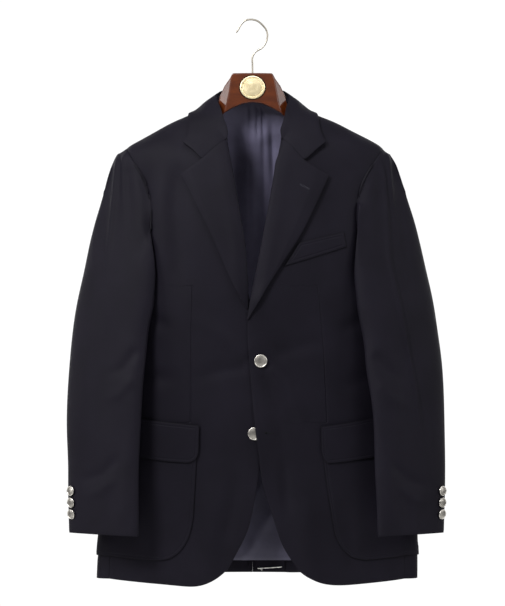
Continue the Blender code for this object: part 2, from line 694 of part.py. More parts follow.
def make_vent_underlap(material):
    """The right back's extension, inside the left back at the vent."""
    rows, columns = 9, 5
    angles = np.linspace(179.0, 180 - VENT_HALF, columns)
    heights = np.linspace(BACK_HEM_Z + 2, VENT_TOP_Z, rows)
    grid = [[np.array((a, z)) for a in angles] for z in heights]
    body_wall("vent_underlap", material, grid, -(CLOTH + 0.4), CLOTH)


def make_hanger(material):
    rings = []
    halves = [(-1, s) for s in HANGER[:0:-1]] + [(1, s) for s in HANGER]
    for side, s in halves:
        d, bevel = s.half_depth, min(s.half_depth * 0.45, 6.0)
        rings.append([np.array((side * s.x, y, z)) for y, z in (
            (-d, s.bottom + bevel), (-d, s.top - bevel), (-d + bevel, s.top), (d - bevel, s.top),
            (d, s.top - bevel), (d, s.bottom + bevel), (d - bevel, s.bottom),
            (-d + bevel, s.bottom))])
    loft("hanger_wood", material, rings)


def make_hook(material):
    """A bent wire: up from the block, round over the rail and down to its tip."""
    route = np.array(HOOK, float)
    steps = np.concatenate(((0.0,), np.cumsum(np.linalg.norm(np.diff(route, axis=0), axis=1))))
    read_x = smooth_curve(steps, route[:, 0])
    read_z = smooth_curve(steps, route[:, 1])
    count, sides = 32, 8
    rings = []
    for i in range(count + 1):
        s = steps[-1] * i / count
        ahead, behind = min(steps[-1], s + 0.5), max(0.0, s - 0.5)
        run = unit(np.array((read_x(ahead) - read_x(behind), 0.0, read_z(ahead) - read_z(behind))))
        out = np.array((run[2], 0.0, -run[0]))
        radius = WIRE_RADIUS * (0.6 if i == count else 1.0)
        rings.append([np.array((read_x(s), 0.0, read_z(s)))
                      + out * radius * math.cos(2 * math.pi * k / sides)
                      + np.array((0.0, radius * math.sin(2 * math.pi * k / sides), 0.0))
                      for k in range(sides)])
    loft("hanger_hook", material, rings)


BADGE_CENTRE = (0.0, -14.3, -107.5)
BADGE_RADIUS = 20.0
BADGE_HEIGHT_SHARE = 0.92
BADGE_PROFILE = ((0.0, 19.0), (0.8, 20.0), (1.8, 20.0), (2.4, 19.0), (2.4, 17.4), (1.9, 16.8),
                 (1.9, 15.4), (2.5, 14.8), (2.9, 8.0), (3.0, 1.0))
BUTTON_PROFILE = ((0.3, 0.34), (1.4, 0.34), (1.5, 0.86), (2.0, 1.0), (3.0, 1.0), (3.6, 0.8),
                  (4.1, 0.3))


def make_button(name, material, place, axis, radius, sides, depth=1.0, shank=0.0):
    foot, rest = BUTTON_PROFILE[0], BUTTON_PROFILE[1:]
    profile = [(foot[0] * depth, foot[1] * radius)]
    profile += [(along * depth + shank, share * radius) for along, share in rest]
    lathe(name, material, place, axis, profile, sides)


def make_front_buttons(material):
    for name, x, z, lift in (("front_button_upper", 13, -544, front_lift(13, -544)),
                             ("front_button_lower", 3, -660, 0.0)):
        angle = angle_at(x, z)
        axis = body_normal(angle, z)
        make_button(name, material, on_body(angle, z, lift), axis, FRONT_BUTTON_RADIUS, 18)


def make_cuff_buttons(side, material):
    """Three on each sleeve, in a close row near the hind edge of the top sleeve, tipped outwards."""
    word = "left" if side > 0 else "right"
    rings = np.array(sleeve_rings(side))
    line = rings[:, 1] + (rings[:, 2] - rings[:, 1]) * CUFF_BUTTON_INSET
    for number, (z, droop) in enumerate(zip(CUFF_BUTTON_Z, CUFF_BUTTON_DROOP), start=1):
        x = np.interp(-z, -line[:, 2], line[:, 0])
        y = np.interp(-z, -line[:, 2], line[:, 1])
        outwards = math.sin(math.radians(CUFF_BUTTON_TIP))
        axis = unit(np.array((side * outwards, -math.cos(math.radians(CUFF_BUTTON_TIP)),
                              -outwards * droop)))
        make_button("cuff_button_%s_%d" % (word, number), material,
                    np.array((x, y, z)) + axis * CUFF_BUTTON_LIFT, axis, CUFF_BUTTON_RADIUS, 12,
                    0.8, CUFF_BUTTON_SHANK)


def main():
    for thing in list(bpy.data.objects):
        bpy.data.objects.remove(thing)
    wool = make_material("wool_twill", (0.017, 0.017, 0.025), 0.8)
    lining = make_material("lining_satin", (0.02, 0.022, 0.05), 0.4)
    wood = make_material("polished_wood", (0.13, 0.04, 0.02), 0.3)
    wire = make_material("hook_wire", (0.62, 0.58, 0.52), 0.3, 1.0)
    brass = make_material("badge_brass", (0.75, 0.62, 0.36), 0.35, 1.0)
    silver = make_material("button_metal", (0.55, 0.54, 0.52), 0.35, 1.0)
    for side, word in ((1, "left"), (-1, "right")):
        make_front(side, "front_" + word, wool)
        make_side(side, "side_" + word, wool)
        make_back(side, "back_" + word, wool)
        make_sleeve(side, wool)
        make_lapel(side, "lapel_" + word, wool)
        make_patch(side, wool)
        make_flap(side, wool)
        make_cuff_buttons(side, silver)
    make_collar(wool)
    make_collar_stand(wool)
    make_welt(wool)
    make_lining(lining)
    make_vent_underlap(wool)
    make_front_buttons(silver)
    make_hanger(wood)
    make_hook(wire)
    lathe("hanger_badge", brass, BADGE_CENTRE, (0, -1, 0), BADGE_PROFILE, 24,
          (1.0, BADGE_HEIGHT_SHARE))


main()
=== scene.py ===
# %% [markdown]
# # A single breasted blazer on its hanger
# The solids of the blazer are already cut and packed. Here each one is dressed: the cloth pieces
# become thin soft sheets with their creases, and wood, wire, buttons and thread get their
# finishes. The frame is loaded first and never moved, so that every piece has a place to go.

import json
import math

import bmesh
import bpy
import numpy as np
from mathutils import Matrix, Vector
from mathutils.bvhtree import BVHTree

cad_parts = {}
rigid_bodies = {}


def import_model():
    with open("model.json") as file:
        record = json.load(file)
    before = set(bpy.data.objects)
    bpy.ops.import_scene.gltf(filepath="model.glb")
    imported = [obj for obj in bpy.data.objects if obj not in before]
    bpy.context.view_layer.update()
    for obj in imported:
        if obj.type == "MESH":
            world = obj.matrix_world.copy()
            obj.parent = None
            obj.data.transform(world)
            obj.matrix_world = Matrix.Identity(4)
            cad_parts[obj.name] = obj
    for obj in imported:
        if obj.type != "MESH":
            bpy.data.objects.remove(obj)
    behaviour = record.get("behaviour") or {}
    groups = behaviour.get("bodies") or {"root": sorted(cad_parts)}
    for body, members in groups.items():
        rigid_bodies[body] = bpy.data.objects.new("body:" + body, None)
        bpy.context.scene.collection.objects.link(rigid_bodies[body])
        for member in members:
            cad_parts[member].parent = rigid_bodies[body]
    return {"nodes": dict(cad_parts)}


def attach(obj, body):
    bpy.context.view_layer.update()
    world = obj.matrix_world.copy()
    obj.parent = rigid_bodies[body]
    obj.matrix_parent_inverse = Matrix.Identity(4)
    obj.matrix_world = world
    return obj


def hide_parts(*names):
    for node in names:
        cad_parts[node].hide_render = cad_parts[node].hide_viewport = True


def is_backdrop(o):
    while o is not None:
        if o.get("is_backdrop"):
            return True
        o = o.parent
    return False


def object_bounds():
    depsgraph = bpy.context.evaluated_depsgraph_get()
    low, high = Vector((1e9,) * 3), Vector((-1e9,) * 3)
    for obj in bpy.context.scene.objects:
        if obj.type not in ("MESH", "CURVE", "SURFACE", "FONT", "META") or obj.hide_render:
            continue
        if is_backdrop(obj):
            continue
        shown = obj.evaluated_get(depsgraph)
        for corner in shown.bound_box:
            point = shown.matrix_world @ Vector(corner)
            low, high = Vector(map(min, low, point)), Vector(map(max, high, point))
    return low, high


for thing in list(bpy.data.objects):
    bpy.data.objects.remove(thing)
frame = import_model()
CAD_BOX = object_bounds()

NODES = frame["nodes"]
print("frame:", len(NODES), "pieces, box", [[round(c, 3) for c in corner] for corner in CAD_BOX])


# %% [markdown]
# ## Helpers for materials
# Colours are written as the hex values a designer would pick on a screen, but Blender mixes
# light in linear values, so one function turns the one into the other. One more function adds a
# shader node, sets it and links it in a single line, so that a material reads from top to bottom.
# The rest are short names for the nodes that every material here needs.

# %% Colours and shader nodes
def colour(code):
    """An sRGB hex colour as the linear values that Blender's shaders take."""
    parts = [int(code[i:i + 2], 16) / 255 for i in (0, 2, 4)]
    return tuple(p / 12.92 if p <= 0.04045 else ((p + 0.055) / 1.055) ** 2.4 for p in parts) + (1.0,)


def node(tree, kind, links=None, **settings):
    """Adds a node. Links maps each socket to a value, a socket, or a node for its first output."""
    made = tree.nodes.new(kind)
    for name, value in settings.items():
        setattr(made, name, value)
    for name, value in (links or {}).items():
        if isinstance(value, bpy.types.Node):
            value = value.outputs[0]
        if isinstance(value, bpy.types.NodeSocket):
            tree.links.new(value, made.inputs[name])
        else:
            made.inputs[name].default_value = value
    return made


def new_material(name, **sockets):
    """A Principled material whose even values are set on the shader's own sockets."""
    material = bpy.data.materials.new(name)
    material.use_nodes = True
    shader = material.node_tree.nodes["Principled BSDF"]
    for socket, value in sockets.items():
        shader.inputs[socket.replace("_", " ")].default_value = value
    return material, material.node_tree


def drive(tree, **sockets):
    """Links what varies over the surface to the material's shader."""
    for socket, value in sockets.items():
        tree.links.new(value.outputs[0], tree.nodes["Principled BSDF"].inputs[socket.replace("_", " ")])


# %% Short names for common nodes
def maths(tree, operation, *values):
    return node(tree, "ShaderNodeMath", dict(enumerate(values)), operation=operation)


def remap(tree, value, low, high, to_low, to_high, **settings):
    return node(tree, "ShaderNodeMapRange", {"Value": value, "From Min": low, "From Max": high,
                                             "To Min": to_low, "To Max": to_high}, **settings)


def noise(tree, place, **sockets):
    return node(tree, "ShaderNodeTexNoise", {"Vector": place, **sockets})


def stretched(tree, place, scale, turn=(0.0, 0.0, 0.0)):
    return node(tree, "ShaderNodeMapping", {"Vector": place, "Rotation": turn, "Scale": scale})


def object_place(tree):
    return node(tree, "ShaderNodeTexCoord").outputs["Object"]


def split(tree, vector):
    return node(tree, "ShaderNodeSeparateXYZ", {0: vector}).outputs


def tinted(tree, tint, strength):
    return node(tree, "ShaderNodeVectorMath", {0: colour(tint)[:3], "Scale": strength}, operation="SCALE")


def ramp(tree, value, *stops):
    """Two colours, each at its position, and what lies between them."""
    made = node(tree, "ShaderNodeValToRGB", {0: value})
    for element, (position, code) in zip(made.color_ramp.elements, stops):
        element.position, element.color = position, colour(code)
    return made


def bump(tree, height, strength, distance, under=None):
    """Relief from a height; under is a coarser relief that this one lies on."""
    links = {"Strength": strength, "Distance": distance, "Height": height}
    if under:
        links["Normal"] = under
    return node(tree, "ShaderNodeBump", links)


def wave(tree, along, spacing):
    """A sine of a length in metres, from -1 to 1, once in each spacing."""
    return maths(tree, "SINE", maths(tree, "MULTIPLY", along, 2 * math.pi / spacing))


def furrow(tree, distance, centre, half_width):
    """1 at a distance of centre from the edge, falling to 0 at half a width either side."""
    off = maths(tree, "ABSOLUTE", maths(tree, "SUBTRACT", distance, centre))
    return remap(tree, off, 0.0, half_width, 1.0, 0.0, interpolation_type="SMOOTHSTEP")


# %% [markdown]
# ## The camera and the studio
# Clothes are photographed from straight in front with a long lens, so that the shoulders and the
# hem keep their true widths. The camera stands 15 m away and its lens is as long as that needs.
# A key light from the upper left draws the folds. Big soft lights from both sides and from above
# keep the shadows pale, because dark cloth would swallow hard ones.

# %% Camera
VIEW_WIDTH = 0.808     # metres across the picture, at the coat
VIEW_HEIGHT = VIEW_WIDTH * 606 / 505
VIEW_CENTRE = Vector((0.0, 0.0, -0.4522))
DISTANCE = 15.0
SENSOR = 36.0          # millimetres


def place_in_scene(name, data):
    """A new object with this data, in the scene."""
    thing = bpy.data.objects.new(name, data)
    bpy.context.scene.collection.objects.link(thing)
    return thing


camera_data = bpy.data.cameras.new("camera")
camera_data.sensor_width = SENSOR
camera_data.lens = SENSOR * DISTANCE / VIEW_HEIGHT
camera_data.clip_end = 80.0
camera = place_in_scene("camera", camera_data)
camera.location = VIEW_CENTRE + Vector((0.0, -DISTANCE, 0.0))
camera.rotation_euler = (math.radians(90), 0.0, 0.0)
bpy.context.scene.camera = camera
bpy.context.scene.view_settings.view_transform = "Standard"
print("lens", round(camera_data.lens), "mm at", DISTANCE, "m")


# %% Soft boxes and the backdrop's light
SOFT_BOXES = (     # name, place, height aimed at, width, height, watts
    ("key", (-1.45, -2.3, 1.3), -0.3, 0.8, 1.1, 96), ("fill", (1.7, -2.4, 0.6), -0.3, 1.1, 1.4, 17),
    ("top", (0.0, -0.9, 1.9), -0.3, 1.8, 0.8, 26), ("side_left", (-2.6, -0.7, 0.3), -0.3, 0.9, 1.6, 32),
    ("side_right", (2.6, -0.7, 0.3), -0.3, 0.9, 1.6, 22), ("back_left", (-1.6, 1.8, 0.4), -0.4, 1.2, 2.0, 20),
    ("back_right", (1.6, 1.8, 0.4), -0.4, 1.2, 2.0, 20),
)
for name, place, aim, width, height, power in SOFT_BOXES:
    data = bpy.data.lights.new(name, "AREA")
    data.shape = "RECTANGLE"
    data.size, data.size_y, data.energy = width, height, power
    lamp = place_in_scene(name, data)
    lamp.location = place
    lamp.rotation_euler = (Vector((0, 0, aim)) - lamp.location).to_track_quat("-Z", "Y").to_euler()

AMBIENT, MIRRORED, BACKDROP = 0.11, 0.3, 1.05     # the white room as cloth, metal and camera see it
world = bpy.data.worlds.new("studio")
world.use_nodes = True
bpy.context.scene.world = world
sky = world.node_tree
sky.nodes.clear()
rays = node(sky, "ShaderNodeLightPath").outputs
level = node(sky, "ShaderNodeMix", {0: rays["Is Glossy Ray"], 2: AMBIENT, 3: MIRRORED}, data_type="FLOAT")
level = node(sky, "ShaderNodeMix", {0: rays["Is Camera Ray"], 2: level, 3: BACKDROP}, data_type="FLOAT")
glow = node(sky, "ShaderNodeBackground", {"Color": colour("ffffff"), "Strength": level})
node(sky, "ShaderNodeOutputWorld", {"Surface": glow})


# %% A paper floor far below the hem
FLOOR_Z, FLOOR_REACH = -1.3, 1.4
floor_mesh = bpy.data.meshes.new("floor")
floor_mesh.from_pydata([(x * FLOOR_REACH, y * FLOOR_REACH, FLOOR_Z)
                        for x, y in ((-1, -1), (1, -1), (1, 1), (-1, 1))], [], [(0, 1, 2, 3)])
floor = place_in_scene("floor", floor_mesh)
paper, tree = new_material("matt_paper_floor", Base_Color=colour("f7f7f5"), Roughness=0.9)
grain = node(tree, "ShaderNodeTexNoise", {"Scale": 900.0, "Detail": 3.0})
drive(tree, Normal=bump(tree, grain, 0.05, 0.0004))
floor_mesh.materials.append(paper)
floor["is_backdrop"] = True
print("studio:", len(SOFT_BOXES), "soft boxes and a floor")


# %% [markdown]
# ## Cloth: from a solid wall to a soft sheet
# Each cut piece was packed as a thin closed wall of triangles. A tailor's piece is a sheet, so the
# wall's outer face is taken off it first: the wall is split along its sharp rim, and of the two
# big faces the outer one is the larger. Its triangles came in pairs from a grid of four-sided
# cells. Pairing them again, cell by cell from a corner, gives quads, and quads are what
# Subdivision Surface needs for a smooth cloth without ripples. A quicker way is to smooth the
# triangles as they are, but it leaves a faint pattern of diagonals that dark wool shows at once.

# %% Take the outer face off a wall
def largest_island(shape):
    """The connected group of faces with the largest area."""
    groups, seen = [], set()
    for face in shape.faces:
        if face in seen:
            continue
        seen.add(face)
        group = [face]
        for here in group:     # grows while it is walked
            for other in (f for edge in here.edges for f in edge.link_faces):
                if other not in seen:
                    seen.add(other)
                    group.append(other)
        groups.append(group)
    return max(groups, key=lambda g: sum(f.calc_area() for f in g))


def paired_quads(shape):
    """The grid's cells, found from a corner triangle. A cell's diagonal fixes its neighbours' diagonals."""
    cell_of, cells, waiting = {}, [], []

    def open_cell(triangle, diagonal):
        other = [f for f in diagonal.link_faces if f is not triangle]
        if triangle in cell_of or not other or other[0] in cell_of:
            return
        a, c = diagonal.verts
        b = next(v for v in triangle.verts if v not in (a, c))
        d = next(v for v in other[0].verts if v not in (a, c))
        cell_of[triangle] = cell_of[other[0]] = len(cells)
        cells.append((triangle, other[0], a, b, c, d))
        waiting.append((triangle, other[0], diagonal))

    for corner in shape.verts:
        if len(corner.link_faces) == 1:
            triangle = corner.link_faces[0]
            open_cell(triangle, next(e for e in triangle.edges if corner not in e.verts))
            break
    while waiting:
        first, second, diagonal = waiting.pop(0)
        for triangle in (first, second):
            for edge in triangle.edges:
                if edge is diagonal:
                    continue
                free = next(v for v in edge.verts if v not in diagonal.verts)
                for other in edge.link_faces:
                    if other is triangle or other in cell_of:
                        continue
                    tip = next(v for v in other.verts if v not in edge.verts)
                    open_cell(other, next(e for e in other.edges if free in e.verts and tip in e.verts))
    return cells, [f for f in shape.faces if f not in cell_of]


def outer_face(name):
    """A node's outer face as points in metres and faces, four-sided wherever they pair."""
    shape = bmesh.new()
    shape.from_mesh(NODES[name].data)
    bmesh.ops.remove_doubles(shape, verts=shape.verts, dist=2e-5)
    rim = [e for e in shape.edges if len(e.link_faces) == 2 and e.calc_face_angle(0) > math.radians(60)]
    bmesh.ops.split_edges(shape, edges=rim)
    keep = set(largest_island(shape))
    bmesh.ops.delete(shape, geom=[f for f in shape.faces if f not in keep], context="FACES")
    cells, rest = paired_quads(shape)
    shape.verts.index_update()
    points = [v.co.copy() for v in shape.verts]
    faces = []
    for triangle, _, a, b, c, d in cells:
        turn = [v.index for v in triangle.verts]
        quad = [a.index, b.index, c.index, d.index]
        forward = turn.index(b.index) == (turn.index(a.index) + 1) % 3
        faces.append(quad if forward else quad[::-1])
    faces += [[v.index for v in f.verts] for f in rest]
    shape.free()
    return points, faces, len(rest)


CLOTH_NODES = [n for n in sorted(NODES) if not n.startswith(("hanger", "cuff_button", "front_button"))]
FACES = {n: outer_face(n) for n in CLOTH_NODES}
for name, (points, faces, odd) in FACES.items():
    print("  %-20s %4d cells, %d odd triangles" % (name, len(faces) - odd, odd))


# %% [markdown]
# ## The cut of the cloth
# A tailor cuts each piece flat, and the twill runs straight up the flat piece whatever it does on
# the body. Blender can flatten a sheet the same way: Unwrap lays it out as a UV map. Scaled so
# that one unit is one metre, and turned so that V runs up the coat, the map is the paper pattern
# itself. The weave is drawn on it, and its width, length and area are the cut of the piece.

# %% Flatten a piece and measure its cut
CUT = {}


def area_of(points, faces):
    """The area of flat or solid faces, each taken as a fan of triangles."""
    total = 0.0
    for face in faces:
        for i in range(1, len(face) - 1):
            a, b, c = (np.array(points[face[k]]) for k in (0, i, i + 1))
            total += np.linalg.norm(np.cross(b - a, c - a)) / 2
    return total


def read(items, attribute, width):
    """One value or vector of every item, as rows of numbers."""
    flat = np.zeros(len(items) * width, np.float32)
    items.foreach_get(attribute, flat)
    return flat.reshape(-1, width).astype(float)


def lay_flat(thing):
    """Adds the UV map 'cut' in metres, with V up the coat, and notes the piece's flat size."""
    mesh = thing.data
    mesh.uv_layers.new(name="cut")
    bpy.context.view_layer.objects.active = thing
    thing.select_set(True)
    bpy.ops.object.mode_set(mode="EDIT")
    bpy.ops.mesh.select_all(action="SELECT")
    bpy.ops.uv.unwrap(method="CONFORMAL", margin=0.0)
    bpy.ops.object.mode_set(mode="OBJECT")
    thing.select_set(False)
    flat = read(mesh.uv_layers["cut"].data, "uv", 2)
    owner = np.array([loop.vertex_index for loop in mesh.loops])
    height = np.array([v.co.z for v in mesh.vertices])[owner]
    solid_area = area_of([v.co for v in mesh.vertices], [p.vertices for p in mesh.polygons])
    loops = [list(p.loop_indices) for p in mesh.polygons]
    flat_area = area_of(np.column_stack((flat, 0 * flat[:, 0])), loops)
    flat *= math.sqrt(solid_area / flat_area)
    centred = flat - flat.mean(0)
    slope = np.linalg.lstsq(centred, height - height.mean(), rcond=None)[0]
    slope /= np.linalg.norm(slope)
    turned = np.column_stack((centred @ np.array((slope[1], -slope[0])), centred @ slope))
    mesh.uv_layers["cut"].data.foreach_set("uv", turned.astype(np.float32).ravel())
    size = turned.max(0) - turned.min(0)
    CUT[thing.name] = (float(size[0]), float(size[1]), float(solid_area))


# %% [markdown]
# ## Smooth, but still in its place
# Subdivision Surface rounds a mesh by pulling it inside its own corners. A coat that shrank by a
# millimetre would leave its seams open. So every corner is first pushed out by as much as the
# smoothing will pull it in, and the finished sheet runs through the very points of the solid.

# %% Turn a face into a fine sheet
def link(name, points, faces, edges=()):
    mesh = bpy.data.meshes.new(name)
    mesh.from_pydata([tuple(p) for p in points], [tuple(e) for e in edges], [tuple(f) for f in faces])
    return place_in_scene(name, mesh)


def evaluated(thing):
    depsgraph = bpy.context.evaluated_depsgraph_get()
    depsgraph.update()
    return bpy.data.meshes.new_from_object(thing.evaluated_get(depsgraph), depsgraph=depsgraph)


def apply_modifiers(thing):
    """The evaluated mesh takes the place of the object's own."""
    old, made = thing.data, evaluated(thing)
    thing.modifiers.clear()
    thing.data = made
    bpy.data.meshes.remove(old)
    made.name = thing.name


def places(mesh):
    return read(mesh.vertices, "co", 3)


def normals_of(mesh):
    return read(mesh.vertex_normals, "vector", 3)


def put(mesh, points):
    mesh.vertices.foreach_set("co", points.astype(np.float32).ravel())
    mesh.update()


def fine_sheet(node_name, level):
    """The node's outer face as a smooth sheet that passes through the solid's own points."""
    points, faces, _ = FACES[node_name]
    thing = link("cloth_" + node_name, points, faces)
    lay_flat(thing)
    smooth = thing.modifiers.new("smooth", "SUBSURF")
    smooth.levels = smooth.render_levels = level
    smooth.boundary_smooth = "PRESERVE_CORNERS"
    smooth.uv_smooth = "PRESERVE_BOUNDARIES"
    base = places(thing.data)
    for _ in range(2):
        pulled = places(evaluated(thing))[:len(base)]
        put(thing.data, places(thing.data) + (base - pulled))
    apply_modifiers(thing)
    thing.data.shade_smooth()
    return thing


# %% How far every point is from the edges of its sheet
def rim_loop(mesh):
    """The corners round the sheet's open edge, in order."""
    uses = {}
    for polygon in mesh.polygons:
        for key in polygon.edge_keys:
            uses[key] = uses.get(key, 0) + 1
    beside = {}
    for (a, b), count in uses.items():
        if count == 1:
            beside.setdefault(a, []).append(b)
            beside.setdefault(b, []).append(a)
    start = min(beside)
    loop, last = [start], None
    while True:
        nexts = [v for v in beside[loop[-1]] if v != last]
        last = loop[-1]
        if nexts[0] == start or len(loop) > len(beside):
            return loop
        loop.append(nexts[0])


def nearest_on(points, line, closed=False):
    """How far each point is from a line, the share of the line there, and the nearest spot itself."""
    line = np.array(line, float)
    if closed:
        line = np.vstack((line, line[:1]))
    best, share, spot = np.full(len(points), 1e9), np.zeros(len(points)), np.zeros_like(points)
    lengths = np.linalg.norm(np.diff(line, axis=0), axis=1)
    ends = np.concatenate(((0.0,), np.cumsum(lengths)))
    for a, b, start, length in zip(line, line[1:], ends, lengths):
        step = b - a
        t = np.clip(((points - a) @ step) / max(1e-12, step @ step), 0, 1)
        there = a + t[:, None] * step
        away = np.linalg.norm(points - there, axis=1)
        closer = away < best
        best[closer], spot[closer] = away[closer], there[closer]
        share[closer] = ((start + t * length) / ends[-1])[closer]
    return best, share, spot


def keep_value(mesh, name, values):
    layer = mesh.attributes.new(name, "FLOAT", "POINT")
    layer.data.foreach_set("value", np.asarray(values, np.float32))


# %% [markdown]
# ## Creases, listed one by one
# Wool on a hanger doesn't crumple. It hangs in a few long soft folds: a hollow beside each
# armhole, a drag from the fastened button down across the skirt, fine lines that fall from the
# sleeve head. A cloth simulation could find such folds, but it can't be told where they should
# be, and pressed tailoring keeps its shape by canvas and steam rather than by weight. So each
# fold here is a line on the coat as it is seen from the front or the back, with its own width
# and height. All the layers that lie on one another read the same folds, and so they never cut
# through each other.

# %% Fold lines in millimetres: the line, its width, its height, and how it fades at both ends
FRONT_FOLDS = (
    (((-119, -212), (-121, -300), (-116, -400), (-106, -474)), 15, -2.4, 0.2, 0.4),
    (((-169, -228), (-174, -300), (-171, -380), (-158, -455)), 12, -2.6, 0.2, 0.3),
    (((-146, -225), (-149, -320), (-141, -436)), 13, 1.5, 0.3, 0.4),
    (((174, -235), (178, -300), (173, -382), (160, -462)), 12, -2.4, 0.2, 0.3),
    (((151, -240), (153, -330), (146, -424)), 13, 1.3, 0.3, 0.4),
    (((112, -262), (118, -330), (112, -410), (98, -470)), 16, -1.2, 0.4, 0.4),
    (((22, -552), (60, -600), (94, -656)), 9, 1.6, 0.1, 0.5),
    (((16, -562), (36, -622), (52, -692)), 8, -1.5, 0.1, 0.5),
    (((-4, -540), (-50, -502), (-94, -468)), 12, 1.3, 0.1, 0.6),
    (((-6, -552), (-60, -562), (-112, -584)), 11, -1.3, 0.1, 0.6),
    (((32, -536), (82, -520), (134, -511)), 12, -1.2, 0.1, 0.6),
    (((49, -690), (52, -742), (58, -806)), 9, -1.9, 0.3, 0.4),
    (((-38, -690), (-62, -780), (-76, -900)), 20, 2.4, 0.5, 0.1),
    (((-16, -700), (-30, -766), (-50, -856)), 11, -1.4, 0.4, 0.3),
    (((88, -706), (84, -800), (92, -905)), 19, 2.0, 0.5, 0.1),
    (((140, -720), (150, -800), (163, -900)), 15, -1.2, 0.5, 0.2),
    (((-150, -725), (-160, -800), (-170, -900)), 16, -1.2, 0.5, 0.2),
    (((-197, -440), (-168, -472), (-118, -500)), 12, -1.8, 0.2, 0.5),
    (((206, -445), (174, -480), (126, -502)), 12, -1.7, 0.2, 0.5),
    (((-192, -560), (-140, -573), (-98, -566)), 13, -1.3, 0.2, 0.5),
    (((206, -566), (152, -582), (118, -572)), 13, -1.2, 0.2, 0.5),
    (((-150, -168), (-120, -186), (-90, -214)), 15, -1.1, 0.2, 0.5),
    (((154, -170), (124, -188), (96, -214)), 14, -1.0, 0.2, 0.5),
)
BACK_FOLDS = (
    (((-52, -214), (-92, -326), (-150, -432)), 19, -2.8, 0.4, 0.2),
    (((56, -218), (100, -334), (160, -438)), 18, -2.5, 0.4, 0.2),
    (((-122, -236), (-152, -330), (-188, -420)), 15, 2.1, 0.4, 0.2),
    (((128, -240), (160, -336), (194, -424)), 14, 1.9, 0.4, 0.2),
    (((-24, -500), (-88, -548), (-168, -570)), 17, -1.9, 0.2, 0.3),
    (((22, -512), (92, -556), (176, -580)), 16, -1.7, 0.2, 0.3),
    (((-60, -440), (-110, -472), (-180, -492)), 14, 1.3, 0.3, 0.3),
    (((64, -450), (118, -484), (188, -500)), 14, 1.2, 0.3, 0.3),
    (((-84, -600), (-98, -740), (-112, -888)), 25, 3.0, 0.4, 0.0),
    (((90, -610), (106, -750), (122, -888)), 24, 2.7, 0.4, 0.0),
    (((-150, -620), (-166, -760), (-182, -888)), 18, -1.9, 0.4, 0.0),
    (((158, -620), (174, -760), (192, -888)), 18, -1.8, 0.4, 0.0),
    (((-40, -640), (-46, -760), (-50, -884)), 15, -1.5, 0.4, 0.0),
    (((44, -640), (52, -760), (58, -884)), 15, -1.3, 0.4, 0.0),
    (((-70, -168), (0, -186), (72, -170)), 12, -1.2, 0.3, 0.3),
)
SLEEVE_FRONT_FOLDS = {
    "right": (
        (((-214, -206), (-220, -275), (-226, -335), (-236, -441)), 4.0, 2.6, 0.12, 0.5),
        (((-206, -208), (-206, -262), (-205, -330)), 3.4, 1.9, 0.12, 0.6),
        (((-226, -222), (-236, -290), (-246, -380), (-256, -470)), 7, -0.8, 0.1, 0.5),
        (((-199, -232), (-196, -300), (-196, -380)), 6, -0.8, 0.1, 0.5),
        (((-246, -440), (-262, -560), (-272, -700)), 14, 1.1, 0.4, 0.4),
        (((-224, -450), (-234, -570), (-240, -690)), 13, -1.3, 0.3, 0.4),
        (((-180, -520), (-206, -556), (-244, -574)), 9, -1.5, 0.2, 0.5),
        (((-186, -566), (-214, -598), (-250, -612)), 8, 1.0, 0.2, 0.5),
        (((-206, -690), (-240, -724), (-280, -738)), 8, -1.4, 0.3, 0.3),
        (((-212, -726), (-244, -752), (-274, -764)), 7, 1.1, 0.3, 0.4),
        (((-198, -640), (-204, -720), (-206, -816)), 10, 1.0, 0.4, 0.2),
        (((-226, -740), (-230, -780), (-232, -822)), 9, -0.9, 0.4, 0.0),
    ),
    "left": (
        (((206, -222), (213, -292), (218, -383), (233, -452), (261, -591), (278, -723)), 4.0, 2.2, 0.06, 0.4),
        (((216, -206), (220, -258), (227, -330)), 3.4, 1.9, 0.12, 0.6),
        (((228, -222), (238, -300), (248, -390), (262, -480)), 7, -0.8, 0.1, 0.5),
        (((199, -240), (199, -310), (204, -390)), 6, -0.8, 0.1, 0.5),
        (((246, -480), (266, -590), (284, -700)), 9, -1.0, 0.3, 0.4),
        (((232, -500), (244, -600), (252, -700)), 12, -1.2, 0.3, 0.4),
        (((190, -530), (218, -562), (252, -578)), 9, -1.4, 0.2, 0.5),
        (((196, -576), (226, -606), (262, -620)), 8, 1.0, 0.2, 0.5),
        (((214, -700), (250, -734), (290, -748)), 8, -1.4, 0.3, 0.3),
        (((224, -738), (256, -764), (286, -774)), 7, 1.0, 0.3, 0.4),
        (((212, -650), (218, -730), (222, -818)), 10, 1.0, 0.4, 0.2),
        (((244, -745), (250, -786), (254, -822)), 9, -0.9, 0.4, 0.0),
    ),
}
SLEEVE_BACK_FOLDS = (
    (((214, -240), (224, -330), (236, -430)), 9, 1.7, 0.1, 0.5),
    (((232, -250), (246, -340), (262, -440)), 9, -1.6, 0.2, 0.5),
    (((200, -500), (236, -526), (276, -534)), 10, -2.3, 0.3, 0.3),
    (((204, -548), (240, -566), (282, -572)), 9, 1.8, 0.3, 0.3),
    (((206, -590), (246, -616), (288, -622)), 10, -2.0, 0.3, 0.3),
    (((236, -630), (246, -710), (254, -816)), 12, 1.8, 0.4, 0.1),
    (((270, -640), (276, -720), (280, -810)), 10, -1.4, 0.4, 0.1),
)


# %% The folds as one height for any point on the coat
DRAPE = 1.7     # how much deeper this soft cloth folds than the heights above


